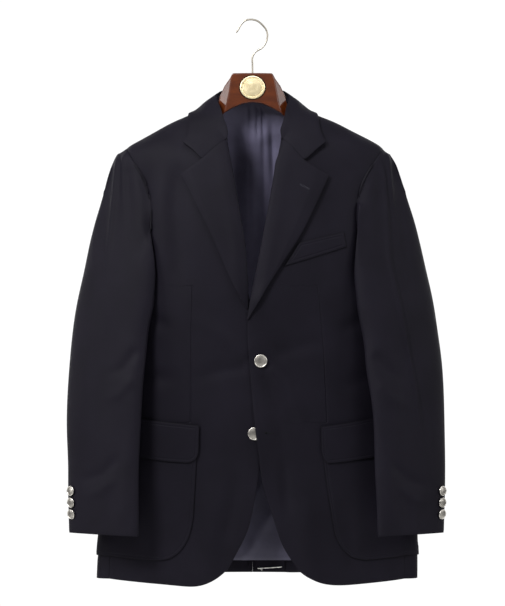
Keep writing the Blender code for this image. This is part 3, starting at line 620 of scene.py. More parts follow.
def fold_height(points, folds, mirror=1):
    flat = points[:, (0, 2)] * 1000
    height = np.zeros(len(points))
    for line, width, rise, fade_in, fade_out in folds:
        away, share, _ = nearest_on(flat, [(x * mirror, z) for x, z in line])
        grow = np.clip(share / max(fade_in, 1e-3), 0, 1)
        die = np.clip((1 - share) / max(fade_out, 1e-3), 0, 1)
        strength = grow * grow * (3 - 2 * grow) * die * die * (3 - 2 * die)
        height += DRAPE * rise * strength * np.exp(-(away / width) ** 2)
    return height


def uneven(points):
    """The slow unevenness of hanging cloth, under a millimetre, the same for all layers."""
    x, y, z = (points * 1000).T
    return (0.34 * np.sin(x / 29 + z / 61 + 1.3) + 0.28 * np.sin(x / 47 - z / 33 + 0.4)
            + 0.22 * np.sin(y / 23 + z / 41 + 2.1) + 0.16 * np.sin(x / 17 + z / 97))


def body_height(points, normals):
    front = np.clip(-normals[:, 1] * 1.7, 0, 1)
    back = np.clip(normals[:, 1] * 1.7, 0, 1)
    height = (front * fold_height(points, FRONT_FOLDS) + back * fold_height(points, BACK_FOLDS)
              + uneven(points))
    covered = np.clip(1 - front - back, 0, 1) * np.clip((-0.42 - points[:, 2]) / 0.02, 0, 1)
    return height - covered * (np.abs(height) + 0.2)


def sleeve_height(points, normals, side):
    front = np.clip(-normals[:, 1] * 1.5, 0, 1)
    back = np.clip(normals[:, 1] * 1.5, 0, 1)
    word = "left" if side > 0 else "right"
    height = (front * fold_height(points, SLEEVE_FRONT_FOLDS[word])
              + back * fold_height(points, SLEEVE_BACK_FOLDS, side) + uneven(points))
    inner = np.clip((-side * normals[:, 0] - 0.3) / 0.4, 0, 1)
    return height * (1 - 0.9 * inner)


# %% [markdown]
# ## Wool twill
# Blazer cloth is fine worsted wool, woven in a steep twill and dyed almost black navy. The eye gets three
# things from it: very little colour, a soft pale bloom where it is seen at a slant, because the tips of the
# fibres catch light there, and close up the diagonal of the twill. So the base is dark and rough, Sheen makes
# the bloom, and two sine waves on the flat cut draw the twill and its yarns. Real twill lines are 0.5 mm
# apart and would vanish in the picture, so they are drawn 0.9 mm apart here. The stitching line and the seams
# are read from each point's distance to the edge of its piece, where the cloth is drawn in by its thread.
# Within 1.2 mm of every edge the colour is also darkened, a painted shade for the shadow in the seam, and
# more strongly on the topstitched pieces.

# %% The wool's material
TWILL_SPACING, YARN_SPACING, TWILL_SLOPE = 0.0009, 0.0011, 0.56
STITCH_LINE = 0.005     # metres from the edge to the topstitching
DART_CENTRE = 0.02      # the value that the attribute 'dart' has on a dart's line


def wool_material(name, tint, stitch_line=None):
    """Worsted twill, its colour darkened within 1.2 mm of every edge as painted seam shade. With a stitch
    line, that shade is stronger and a furrow runs at that distance from the piece's edge.
    """
    material, tree = new_material(name, Roughness=0.6, Specular_IOR_Level=0.075, Sheen_Weight=0.03,
                                  Sheen_Roughness=0.4, Sheen_Tint=colour("8f8c99"))
    across, up, _ = split(tree, node(tree, "ShaderNodeUVMap", uv_map="cut"))
    rise = maths(tree, "MULTIPLY", up, TWILL_SLOPE)
    twill = wave(tree, maths(tree, "SUBTRACT", across, rise), TWILL_SPACING)
    yarn = wave(tree, up, YARN_SPACING)
    place = object_place(tree)
    worn = remap(tree, noise(tree, place, Scale=14.0, Detail=3.0, Roughness=0.55), 0.3, 0.7, 0.86, 1.16)
    lines = maths(tree, "MULTIPLY_ADD", twill, 0.07, worn)
    edge = node(tree, "ShaderNodeAttribute", attribute_name="edge").outputs["Fac"]
    # Painted shade: the colour darkens within 1.2 mm of every edge, by 0.35, and by 0.85 on topstitched
    # pieces, for the shadow in a seam.
    seam = furrow(tree, edge, 0.0, 0.0012)
    shade = maths(tree, "MULTIPLY_ADD", seam, -0.85 if stitch_line else -0.35, lines)
    weave = maths(tree, "MULTIPLY_ADD", yarn, 0.3, twill)
    fuzz = noise(tree, place, Scale=1400.0, Detail=2.0)
    relief = bump(tree, maths(tree, "MULTIPLY_ADD", fuzz, 1.2, weave), 0.22, 0.00012)
    if stitch_line:
        drawn_in = maths(tree, "MULTIPLY", furrow(tree, edge, stitch_line, 0.0022), -1.0)
        relief = bump(tree, drawn_in, 0.5, 0.0007, relief)
    dart = node(tree, "ShaderNodeAttribute", attribute_name="dart").outputs["Fac"]
    dart_line = maths(tree, "MULTIPLY", furrow(tree, dart, DART_CENTRE, 0.0016), -1.0)
    relief = bump(tree, dart_line, 0.9, 0.0009, relief)
    drive(tree, Base_Color=tinted(tree, tint, shade), Normal=relief)
    return material


WOOL = wool_material("navy_wool_twill", "121018")
# The topstitched wool's stronger painted seam shade draws the dark lines along the edges of pockets, flaps
# and welt.
WOOL_STITCHED = wool_material("navy_wool_twill_topstitched", "121018", STITCH_LINE)
print("wool: twill", TWILL_SPACING * 1000, "mm apart, topstitched", STITCH_LINE * 1000, "mm from the edge")


# %% [markdown]
# ## Lining
# The back is lined with indigo satin. Satin is all floats: it shines along its warp and folds
# more sharply than wool, so it has a lower roughness, an anisotropic gloss and a fine upright
# thread, and its folds are narrow and deep.

# %% The lining's material
WARP_SPACING = 0.0008


def satin_material(name, tint):
    material, tree = new_material(name, Roughness=0.5, Specular_IOR_Level=0.25, Anisotropic=0.3,
                                  Sheen_Weight=0.1, Sheen_Roughness=0.3, Sheen_Tint=colour("5a5f86"))
    warp = wave(tree, split(tree, node(tree, "ShaderNodeUVMap", uv_map="cut"))[0], WARP_SPACING)
    place = object_place(tree)
    clouds = noise(tree, place, Scale=22.0, Detail=4.0, Roughness=0.6)
    depth = remap(tree, clouds, 0.3, 0.7, 0.85, 1.15)
    # Painted shade: the satin's colour falls from full above 0.4 m down to 0.42 of it below 0.7 m down, for
    # the shade of the skirts towards the hem.
    painted_hem_shade = remap(tree, split(tree, place)[2], -0.7, -0.4, 0.42, 1.0)
    crumple = bump(tree, clouds, 0.35, 0.0012)
    drive(tree, Base_Color=tinted(tree, tint, maths(tree, "MULTIPLY", depth, painted_hem_shade)),
          Normal=bump(tree, warp, 0.1, 0.0001, crumple))
    return material


SATIN = satin_material("indigo_lining_satin", "67647b")


# %% [markdown]
# ## Sewing the sheets up
# Each sheet now gets its folds. Two things are added where pieces end. At a seam the cloth is
# drawn inwards by its thread, so every edge dips a little. Along the roll line a lapel turns
# over, so lapel and front both curve in there and meet as one soft fold instead of two cut
# edges. Solidify gives back the thickness of the cloth, inwards from the face, and a small Bevel
# rounds the rim, because a turned edge is never sharp. Last, a cord of tape inside the armholes
# and the centre back closes the hairline that is left between two rims.

# %% Roll lines and the folds of single pieces
ROLL = {
    "left": ((60, -172), (50, -187), (38, -219), (31, -265), (21, -319), (12, -367), (3, -410), (-4, -447),
             (-9, -480)),
    "right": ((-56, -172), (-44, -188), (-38, -200), (-30, -245), (-22, -294), (-12, -351), (-9, -383),
              (-6, -425), (-7, -462)),
}
LINING_FOLDS = (     # the satin is seen from its other side, so here a hollow is positive
    (((-4, -150), (-3, -300), (1, -440)), 3.0, 1.0, 0.1, 0.5),
    (((1, -146), (3, -300), (4, -440)), 13, -3.8, 0.25, 0.4),
    (((-7, -140), (-8, -206)), 2.6, 1.3, 0.0, 0.6),
    (((7, -140), (7, -196)), 2.0, 1.6, 0.0, 0.5),
    (((15.5, -140), (16, -190)), 2.0, 1.6, 0.0, 0.5),
    (((11, -150), (11, -340)), 4.4, -1.2, 0.2, 0.8),
    (((30, -136), (32, -210), (38, -330)), 4.2, 2.2, 0.5, 0.6),
    (((22, -150), (23, -230), (26, -340)), 5.5, -1.6, 0.1, 0.6),
    (((-32, -150), (-27, -320), (-30, -470)), 11, 2.6, 0.1, 0.4),
    (((46, -190), (46, -300), (50, -440)), 9, -1.5, 0.3, 0.4),
    (((-20, -480), (-14, -600), (-22, -740)), 12, -1.8, 0.3, 0.4),
    (((36, -480), (30, -610), (26, -740)), 12, -1.8, 0.3, 0.4),
    (((-24, -740), (-21, -866)), 8, -1.4, 0.5, 0.0),
    (((-48, -700), (-40, -780), (-28, -850)), 10, -1.3, 0.5, 0.3),
    (((30, -730), (35, -866)), 12, -1.0, 0.5, 0.0),
    (((28, -716), (-4, -776), (-40, -846)), 8, -1.5, 0.3, 0.1),
    (((44, -768), (14, -818), (-12, -862)), 8, -1.5, 0.3, 0.0),
)
DARTS = {"front_right": (((-96, -425), (-98, -540), (-99, -643)),),
         "front_left": (((103, -425), (107, -447), (114, -531), (119, -643)),)}


def beside_roll(points, word):
    """How far each point is from the roll line in millimetres, and the share of the line there."""
    return nearest_on(points[:, (0, 2)] * 1000, ROLL[word])[:2]


def roll_drop(points, word, reach=7.0, drop=2.5):
    """How far the cloth has turned in, in a quarter circle, beside the roll line."""
    away, share = beside_roll(points, word)
    near = np.clip(1 - away / reach, 0, 1) * np.clip((1 - share) / 0.12, 0, 1)
    return -drop * (1 - np.sqrt(1 - np.clip(near, 0, 1) ** 2))


def belly(points, word):
    """The lapel rolls rather than lying pressed, most of all near its foot."""
    away, share = beside_roll(points, word)
    rise = 0.9 + 1.6 * np.clip((share - 0.45) / 0.3, 0, 1)
    return rise * np.exp(-((away - 15) / 12) ** 2) * np.clip((1 - share) / 0.1, 0, 1)


def stand_off(points, word):
    """Lapel and collar lean off the chest from the roll line outwards, and shade it at their free edge."""
    away, _ = beside_roll(points, word)
    z = points[:, 2] * 1000
    wide = 10 + 56 * np.clip((z + 480) / 225, 0, 1)
    return 4.6 * np.clip(away / wide, 0, 1) * np.clip((-148 - z) / 36, 0, 1)


def close_neck(points):
    """Collar and lapels meet at the neck in one smooth line, a little nearer the middle."""
    x, z = points[:, 0] * 1000, points[:, 2] * 1000
    near = np.exp(-((np.abs(x) - 47) / 15) ** 2 - ((z + 183) / 18) ** 2)
    return points - np.column_stack((np.sign(x) * np.where(x > 0, 4.4, 3.6) * near, 0 * x, 0 * x)) / 1000


# %% Draw an edge onto its neighbours, as a seam does
EASED_ALONG, EASED_INWARDS, EASED_BAND = 0.005, 0.012, 0.03     # metres


def seamed(points, loop, edge, neighbours, reach, above=None):
    """The points with their edge moved onto the neighbours' edges, and the cloth behind it eased."""
    rim = points[loop]
    best, _, spot = nearest_on(rim, neighbours[0], closed=True)
    for line in neighbours[1:]:
        away, _, other = nearest_on(rim, line, closed=True)
        closer = away < best
        best[closer], spot[closer] = away[closer], other[closer]
    hold = np.clip((reach - best) / (reach * 0.35), 0, 1)
    if above is not None:
        hold *= np.clip((rim[:, 2] - above) / 0.01, 0, 1)
    move = (spot - rim) * hold[:, None]
    for _ in range(3):
        move = (np.roll(move, 1, 0) + 2 * move + np.roll(move, -1, 0)) / 4
    moved = points.copy()
    beside = np.flatnonzero(edge < EASED_BAND)
    for start in range(0, len(beside), 2000):     # in portions, to spare memory
        some = beside[start:start + 2000]
        away = np.linalg.norm(points[some, None] - rim[None], axis=2)
        share = np.exp(-(away / EASED_ALONG) ** 2) + 1e-12
        shift = share @ move / share.sum(1)[:, None]
        moved[some] += shift * np.exp(-(edge[some] / EASED_INWARDS) ** 2)[:, None]
    moved[loop] = rim + move
    return moved


def up_to_the_neck(points):
    """The lining's top is drawn up inside the collar's stand, as far as it shows under the hanger."""
    x, z = points[:, 0] * 1000, points[:, 2] * 1000
    t = np.clip((z + 205) / 46, 0, 1)
    share = t * t * (3 - 2 * t)
    rise = np.clip(32 - 22 * (x / 47) ** 2, 0, None) * share
    back = (11.5 - 3.5 * (x / 44) ** 2).clip(0) * share
    return points + np.column_stack((np.zeros(len(x)), -back, rise)) / 1000


# %% The height and the darts of one cloth piece
def piece_height(node_name, word, points, normals, edge, dip):
    """How far each point of a piece stands off the solid's face, in millimetres."""
    if node_name.startswith("sleeve"):
        height = sleeve_height(points, normals, 1 if word == "left" else -1)
    elif node_name == "lining_back":
        slack = 2.2 * np.clip(edge / 0.02, 0, 1)
        height = fold_height(points, LINING_FOLDS) - slack - 0.4 * np.abs(uneven(points))
        height += fold_height(points, BACK_FOLDS) + uneven(points)
    else:
        height = body_height(points, normals)
    if node_name.startswith(("front", "lapel")):
        height += roll_drop(points, word)
    if node_name.startswith("lapel"):
        height += belly(points, word) + stand_off(points, word)
    if node_name == "collar":
        height += np.where(points[:, 0] > 0, stand_off(points, "left"), stand_off(points, "right"))
    return height - dip * np.exp(-(edge * 1000 / 2.6) ** 2)


def dart_distance(points, lines):
    """Each point's distance in metres to the right of the nearest dart, plus DART_CENTRE."""
    flat = points[:, (0, 2)] * 1000
    nearest = np.full(len(points), 1e3)
    for line in lines:
        away = nearest_on(flat, line)[0]
        across = flat[:, 0] - np.interp(-flat[:, 1], [-z for _, z in line], [x for x, _ in line])
        nearest = np.where(away < np.abs(nearest), np.copysign(away, across), nearest)
    beyond = (flat[:, 1] > lines[0][0][1]) | (flat[:, 1] < lines[0][-1][1])
    return np.where(beyond, np.abs(nearest), nearest) / 1000 + DART_CENTRE


# %% Make one cloth piece
MADE, RIMS, RIM_NORMALS = {}, {}, {}


def sew(node_name, level, thickness, material, rim=0.6, dip=0.5, to=(), reach=0.006, above=None):
    """The node's sheet with its folds and thickness, riding with the coat in the node's place."""
    thing = fine_sheet(node_name, level)
    mesh = thing.data
    points, normals = places(mesh), normals_of(mesh)
    if node_name == "lining_back":
        points = up_to_the_neck(points)
    if node_name.startswith(("front", "lapel", "collar")):
        points = close_neck(points)
    word = "left" if node_name.endswith("left") else "right"
    loop = rim_loop(mesh)
    edge = nearest_on(points, points[loop], closed=True)[0]
    height = piece_height(node_name, word, points, normals, edge, dip)
    shaped = points + normals * height[:, None] / 1000
    if to:
        shaped = seamed(shaped, loop, edge, [RIMS[name] for name in to], reach, above)
    RIMS[node_name], RIM_NORMALS[node_name] = shaped[loop], normals[loop]
    put(mesh, shaped)
    keep_value(mesh, "edge", edge)
    if node_name in DARTS:
        keep_value(mesh, "dart", dart_distance(points, DARTS[node_name]))
    mesh.materials.append(material)
    wall = thing.modifiers.new("thickness", "SOLIDIFY")
    wall.thickness, wall.offset = thickness / 1000, -1.0
    soft = thing.modifiers.new("turned_edge", "BEVEL")
    soft.limit_method, soft.angle_limit = "ANGLE", math.radians(55)
    soft.width, soft.segments = rim / 1000, 2
    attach(thing, "root")
    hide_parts(node_name)
    MADE[node_name] = thing


# %% Sew the coat
sew("back_left", 2, 2.0, WOOL)
sew("back_right", 2, 2.0, WOOL, to=("back_left",), reach=0.003)
for word in ("left", "right"):
    body = ("front_" + word, "back_" + word, "side_" + word)
    sew("front_" + word, 3, 2.0, WOOL, to=("back_" + word,), reach=0.004)
    sew("side_" + word, 3, 2.0, WOOL, rim=0.3, dip=0.2, to=body[:2], reach=0.004)
    sew("sleeve_top_" + word, 3, 1.8, WOOL, to=body, reach=0.016, above=-0.462)
    sew("sleeve_under_" + word, 3, 1.8, WOOL, to=("sleeve_top_" + word,), reach=0.004)
    sew("lapel_" + word, 3, 2.2, WOOL, rim=0.9)
    sew("patch_pocket_" + word, 3, 2.0, WOOL_STITCHED, rim=0.4)
    sew("flap_" + word, 3, 2.5, WOOL_STITCHED, rim=0.4)
sew("collar", 3, 2.4, WOOL, rim=0.8, to=("lapel_left", "lapel_right"), reach=0.0125)
sew("collar_stand", 3, 1.6, WOOL)
sew("breast_welt", 3, 1.6, WOOL_STITCHED, rim=0.3)
sew("vent_underlap", 2, 2.0, WOOL)
sew("lining_back", 3, 1.0, SATIN, rim=0.3, dip=0.0)
print("sewn:", len(MADE), "pieces of cloth")


# %% Tape the seams from inside
def eased(ring, reach=5):
    """A closed ring of points or directions, each the mean of its neighbours."""
    return np.mean([np.roll(ring, k, axis=0) for k in range(-reach, reach + 1)], axis=0)


def tape(name, piece, neighbours, above=-1.0):
    """A cord of tape inside a seam, along a piece's edge wherever that edge meets its neighbours."""
    rim, out = RIMS[piece], RIM_NORMALS[piece]
    path = eased(rim) - eased(out) * 0.0024
    best = np.min([nearest_on(rim, RIMS[other], closed=True)[0] for other in neighbours], axis=0)
    kept = (best < 0.004) & (rim[:, 2] > above)
    start = int(np.argmin(kept))
    order = [(start + k) % len(rim) for k in range(len(rim))]
    data = bpy.data.curves.new(name, "CURVE")
    data.dimensions, data.bevel_depth, data.bevel_resolution = "3D", 0.0017, 1
    runs, run = [], []
    for k in order + [start]:
        if kept[k]:
            run.append(k)
        else:
            runs, run = runs + [run], []
    for run in runs:
        if len(run) > 3:
            spline = data.splines.new("POLY")
            spline.points.add(len(run) - 1)
            for point, spot in zip(spline.points, path[run]):
                point.co = (*spot, 1.0)
    line = place_in_scene(name + "_line", data)
    mesh = evaluated(line)
    bpy.data.objects.remove(line)
    mesh.name = name
    mesh.materials.clear()
    # With no edge attribute, the whole tape takes the wool's painted seam shade and shows as a dark line in
    # the seam.
    mesh.materials.append(WOOL)
    thing = place_in_scene(name, mesh)
    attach(thing, "root")
    return len(mesh.polygons)


for word in ("left", "right"):
    count = tape("armhole_tape_" + word, "sleeve_top_" + word,
                 ("front_" + word, "back_" + word, "side_" + word), above=-0.46)
    print("  armhole tape,", word, count, "faces")
print("  centre back tape,", tape("centre_back_tape", "back_right", ("back_left",)), "faces")


# %% [markdown]
# ## The hanger
# The hanger is a solid block of stained and lacquered beech with two thin arms. Its front face is
# flat between two edges that spread downwards, and beside them the wood falls back towards the
# arms. Such a form is easiest as a height over its outline: at every place across and up, how far
# back is the wood? The outline's edges are rounded by making each upright row of points bend back
# near its ends.

# %% Stained beech under lacquer
GRAIN_TURN = (0.0, 0.75, 0.0)


def wood_material():
    """Beech has short fine flecks along the grain, and the stain gathers in its pores."""
    material, tree = new_material("stained_lacquered_beech", Roughness=0.45, Specular_IOR_Level=0.15,
                                  Coat_Weight=0.6, Coat_Roughness=0.12)
    place = object_place(tree)
    rings = noise(tree, stretched(tree, place, (26.0, 60.0, 90.0), GRAIN_TURN),
                  Scale=1.0, Detail=6.0, Roughness=0.62, Distortion=0.5)
    flecks = noise(tree, stretched(tree, place, (260.0, 900.0, 1500.0), GRAIN_TURN), Scale=1.0, Detail=2.0)
    grain = maths(tree, "MULTIPLY_ADD", flecks, 0.3, rings)
    drive(tree, Base_Color=ramp(tree, grain, (0.3, "330f03"), (1.0, "612c0a")),
          Normal=bump(tree, grain, 0.12, 0.0002))
    return material


# %% Solids made from rings of points
def tube_faces(rings, sides, closed=False):
    """The faces between rings of points, with a cap at each end unless the last ring meets the first."""
    steps = rings if closed else rings - 1
    faces = [(r * sides + k, r * sides + (k + 1) % sides,
              (r + 1) % rings * sides + (k + 1) % sides, (r + 1) % rings * sides + k)
             for r in range(steps) for k in range(sides)]
    if not closed:
        faces += [tuple(range(sides))[::-1], tuple(range(steps * sides, rings * sides))]
    return faces


def hard_piece(name, points, faces, materials, replaced=None):
    """A solid with its faces turned outwards, riding with the coat, in a node's place if one is given."""
    thing = link(name, points, faces)
    shape = bmesh.new()
    shape.from_mesh(thing.data)
    bmesh.ops.recalc_face_normals(shape, faces=shape.faces)
    shape.to_mesh(thing.data)
    shape.free()
    thing.data.shade_smooth()
    for material in materials:
        thing.data.materials.append(material)
    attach(thing, "root")
    if replaced:
        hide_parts(replaced)
    return thing


# %% The block and its arms
HANGER_SHAPE = (     # millimetres: from the middle, top, bottom, half the depth
    (0, -84.4, -131.2, 14.0), (16, -84.5, -133.4, 14.0), (31, -84.8, -140.0, 13.6),
    (33.4, -87.2, -141.2, 11.8), (36, -92.6, -142.8, 8.6), (45.2, -105.6, -148.4, 4.8),
    (52.6, -122.5, -155.0, 3.6), (55, -134.0, -158.0, 4.4), (58, -139.0, -161.0, 6.0),
    (66, -146.0, -168.0, 6.5), (75, -151.0, -174.0, 7.5), (84, -154.0, -180.0, 9.0),
    (100, -158.0, -186.0, 12.0), (126, -170.0, -198.0, 13.5), (152, -184.0, -210.0, 15.0),
    (172, -194.0, -219.0, 15.0), (186, -202.0, -221.0, 12.0),
)
BLOCK_DEPTH, BLOCK_HALF_WIDTH, ARM_END = 14.0, 36, 187
FALL, SOFTNESS = 0.8, 0.06            # how steeply the wood falls back beside its face, and how softly
BLOCK_STEP, ARM_STEP, NECK = 1.5, 6.0, 66     # between rings of points, finer up to the neck of the arms
ROUNDING = 2.2                        # radius of the outline's edges
FACE_EDGE = {     # side: height and distance from the middle of the flat face's edge
    -1: ((-84, 33.0), (-95, 34.4), (-118, 37.4), (-153, 46.5)),
    1: ((-84, 31.0), (-100, 35.6), (-133, 41.6), (-153, 48.5)),
}


def wood_front(x, z, deep):
    """How far forward the wood stands: flat between the face's edges, falling back beside them."""
    side = 1 if x > 0 else -1
    edge = np.interp(-z, [-h for h, _ in FACE_EDGE[side]], [w for _, w in FACE_EDGE[side]])
    past = abs(x) - edge
    return max(deep, BLOCK_DEPTH - FALL * (past + math.sqrt(past * past + SOFTNESS)) / 2)


def make_wood(material):
    table = np.array(HANGER_SHAPE, float)
    near = list(np.arange(0, NECK, BLOCK_STEP)) + list(np.arange(NECK, ARM_END, ARM_STEP))
    stations = [-x for x in near[:0:-1]] + near
    rows = 26
    rings = []
    for x in stations:
        top, bottom, deep = (np.interp(abs(x), table[:, 0], table[:, k]) for k in (1, 2, 3))
        middle, half = (top + bottom) / 2, (top - bottom) / 2
        ring = []
        for side in (-1, 1):
            for i in range(rows + 1):
                turn = math.pi * (i / rows - 0.5)
                z = middle + side * -half * math.copysign(abs(math.sin(turn)) ** 0.72, turn)
                if side < 0:
                    front = wood_front(x, z, deep)
                else:
                    front = BLOCK_DEPTH if abs(x) < BLOCK_HALF_WIDTH else deep
                left = min(half - abs(z - middle), ROUNDING)
                back_off = ROUNDING - math.sqrt(max(0.0, ROUNDING ** 2 - (ROUNDING - left) ** 2))
                ring.append((x, side * (front - back_off), z))
        rings.append(ring)
    points = [tuple(c / 1000 for c in p) for ring in rings for p in ring]
    return hard_piece("wooden_hanger", points, tube_faces(len(rings), len(rings[0])), [material],
                      "hanger_wood")


WOOD = make_wood(wood_material())
print("hanger:", len(WOOD.data.polygons), "faces")


# %% [markdown]
# ## Bright metal
# Three metals meet here. The hook is nickel-plated steel wire, drawn through a die, so its fine scratches run
# along it. The badge is a turned disc of pale brass: a lathe leaves rings round its centre. The buttons are
# stamped in nickel silver with a plain crowned face, brushed lightly, and a rim that wear keeps polished; the
# rim also has a lighter tint than the face, and that lighter tint is a painted highlight. All three are full
# metals, and differ in tint, in gloss and in the way their fine marks run.

# %% Metals
BADGE_CENTRE = (0.0, 0.0, -0.1075)
BADGE_SQUASH = 0.92     # the badge is a little wider than it is tall


def metal_material(name, tint, dark, roughness, marks):
    """A metal whose tint and gloss vary with its marks: a bump height drawn by the function given."""
    material, tree = new_material(name, Metallic=1.0, Roughness=roughness)
    place = object_place(tree)
    height = marks(tree, place)
    cloud = noise(tree, place, Scale=90.0, Detail=4.0)
    mixed = maths(tree, "MULTIPLY_ADD", height, 0.35, cloud)
    drive(tree, Base_Color=ramp(tree, mixed, (0.35, dark), (0.85, tint)),
          Roughness=remap(tree, cloud, 0.3, 0.7, roughness * 0.85, roughness * 1.2),
          Normal=bump(tree, height, 0.25, 0.0001))
    return material


def drawn_marks(tree, place):
    """Scratches along the wire, which mostly runs up and down."""
    return noise(tree, stretched(tree, place, (5000.0, 5000.0, 120.0)), Scale=1.0, Detail=1.0)


def brushed_marks(tree, place):
    """A fine short brushing at a slant, 0.4 mm from line to line, and a few dents."""
    return noise(tree, stretched(tree, place, (2400.0, 600.0, 500.0), (0.0, 0.7, 0.0)), Scale=1.0, Detail=2.0)


def turned_marks(centre, spacing):
    """Rings left by a lathe round a centre on the front, a spacing in metres apart."""
    def draw(tree, place):
        off = node(tree, "ShaderNodeVectorMath", {0: place, 1: centre}, operation="SUBTRACT")
        flat = node(tree, "ShaderNodeVectorMath", {0: off, 1: (1.0, 0.0, 1.087)}, operation="MULTIPLY")
        away = node(tree, "ShaderNodeVectorMath", {0: flat}, operation="LENGTH")
        return wave(tree, away.outputs["Value"], spacing)
    return draw


NICKEL_WIRE = metal_material("nickel_plated_wire", "a8a297", "857f75", 0.42, drawn_marks)
BRASS = metal_material("turned_pale_brass", "fff3cf", "f3dfae", 0.4, turned_marks(BADGE_CENTRE, 0.0026))
SILVER = metal_material("brushed_nickel_silver", "a8a49d", "7d7a76", 0.42, brushed_marks)
# The rim's lower roughness is its real polish; its lighter tint than the brushed face is a painted highlight.
POLISHED_RIM_WITH_PAINTED_HIGHLIGHT = metal_material("polished_nickel_silver_with_painted_highlight", "d6d2cb", "b9b4ac", 0.28, brushed_marks)
for name, finish in (("hanger_hook", NICKEL_WIRE), ("hanger_badge", BRASS)):
    for slot in NODES[name].material_slots:
        slot.material = finish
print("metals: wire, brass, and two finishes of nickel silver")


# %% [markdown]
# ## Buttons
# A blazer button is a shell with a raised rim and a crowned face, and a loop behind it. It is
# round, so a profile turned about its axis is the whole button. Where each button sits and how it
# tips are measured on the solid that it replaces: the shortest direction through a disc's points
# is its axis.

# %% Turn a button in the place of a solid one
RIM_AND_CROWN = (     # share of the radius, share of the height
    (0.001, 0.0), (0.30, 0.0), (0.30, 0.30), (0.84, 0.34), (0.95, 0.42), (1.0, 0.58), (1.0, 0.70),
    (0.97, 0.82), (0.92, 0.88), (0.87, 0.87), (0.83, 0.78), (0.80, 0.72), (0.74, 0.76), (0.62, 0.85),
    (0.45, 0.93), (0.25, 0.98), (0.001, 1.0),
)


# These rows get the rim metal: real polish, and a lighter tint that is a painted highlight.
RIM_ROWS = range(4, 10)     # the profile's steps that are polished


def turned_button(node_name, sides=56):
    points = places(NODES[node_name].data)
    middle = (points.max(0) + points.min(0)) / 2
    axis = np.linalg.svd(np.unique(points.round(6), axis=0) - middle, full_matrices=False)[2][2]
    axis *= -np.sign(axis[1])
    along = (points - middle) @ axis
    foot, height = along.min(), along.max() - along.min()
    sideways = (points - middle) - along[:, None] * axis
    middle = middle + (sideways.max(0) + sideways.min(0)) / 2
    radius = np.linalg.norm((points - middle) - ((points - middle) @ axis)[:, None] * axis, axis=1).max()
    right = np.cross(axis, (0.0, 0.0, 1.0))
    right /= np.linalg.norm(right)
    up = np.cross(right, axis)
    turns = [2 * math.pi * k / sides for k in range(sides)]
    corners = [middle + axis * (foot + rise * height)
               + share * radius * (right * math.cos(turn) + up * math.sin(turn))
               for share, rise in RIM_AND_CROWN for turn in turns]
    thing = hard_piece("turned_" + node_name, corners, tube_faces(len(RIM_AND_CROWN), sides),
                       [SILVER, POLISHED_RIM_WITH_PAINTED_HIGHLIGHT], node_name)
    for number, polygon in enumerate(thing.data.polygons):
        polygon.material_index = int(number // sides in RIM_ROWS)
    return round(radius * 2000, 1)


BUTTONS = {name: turned_button(name) for name in sorted(NODES) if "button" in name}
print("buttons, mm across:", BUTTONS)


# %% [markdown]
# ## Stitches
# Thread is what holds a coat together, and most of it hides in the seams. Three kinds show: the
# topstitching round pockets, flaps and welt, the purl stitches round the buttonholes, and the long
# white tacks that a tailor leaves in until the coat is sold. All are the same small thing repeated
# along a line, which is what Geometry Nodes do well: a line becomes evenly spaced points, a stitch
# is put on each, turned along the line or across it. The lines themselves are drawn on the
# finished cloth, so the stitches lie where the cloth really is.

# %% The stitching tree
FORWARDS = (0.0, -1.0, 0.0)


def stitch_tree():
    """Stitches along edges: pitch, length and thickness in metres, along the line or across it."""
    tree = bpy.data.node_groups.new("stitches_on_lines", "GeometryNodeTree")
    for name, kind in (("Geometry", "Geometry"), ("Pitch", "Float"), ("Length", "Float"),
                       ("Thickness", "Float"), ("Across", "Bool"), ("Thread", "Material")):
        tree.interface.new_socket(name, in_out="INPUT", socket_type="NodeSocket" + kind)
    tree.interface.new_socket("Geometry", in_out="OUTPUT", socket_type="NodeSocketGeometry")
    given = node(tree, "NodeGroupInput").outputs
    line = node(tree, "GeometryNodeMeshToCurve", {"Mesh": given["Geometry"]})
    spaced = node(tree, "GeometryNodeResampleCurve", {"Curve": line, "Length": given["Pitch"]}, mode="LENGTH")
    run = node(tree, "GeometryNodeInputTangent")
    over = node(tree, "ShaderNodeVectorMath", {0: run, 1: FORWARDS}, operation="CROSS_PRODUCT")
    way = node(tree, "GeometryNodeSwitch", {"Switch": given["Across"], "False": run, "True": over},
               input_type="VECTOR")
    kept = node(tree, "GeometryNodeCaptureAttribute", domain="POINT")
    kept.capture_items.new("VECTOR", "way")
    tree.links.new(spaced.outputs[0], kept.inputs["Geometry"])
    tree.links.new(way.outputs[0], kept.inputs["way"])
    turn = node(tree, "FunctionNodeAlignRotationToVector", {"Vector": kept.outputs["way"]}, axis="Z")
    ratio = maths(tree, "DIVIDE", given["Length"], given["Thickness"])
    stretch = node(tree, "ShaderNodeCombineXYZ", {"X": 1.0, "Y": 1.0, "Z": ratio})
    bead = node(tree, "GeometryNodeMeshUVSphere",
                {"Segments": 6, "Rings": 5, "Radius": maths(tree, "MULTIPLY", given["Thickness"], 0.5)})
    rows = node(tree, "GeometryNodeInstanceOnPoints",
                {"Points": kept.outputs["Geometry"], "Instance": bead, "Rotation": turn, "Scale": stretch})
    real = node(tree, "GeometryNodeRealizeInstances", {0: rows})
    smooth = node(tree, "GeometryNodeSetShadeSmooth", {0: real})
    dyed = node(tree, "GeometryNodeSetMaterial", {0: smooth, "Material": given["Thread"]})
    node(tree, "NodeGroupOutput", {"Geometry": dyed})
    return tree


STITCHES = stitch_tree()


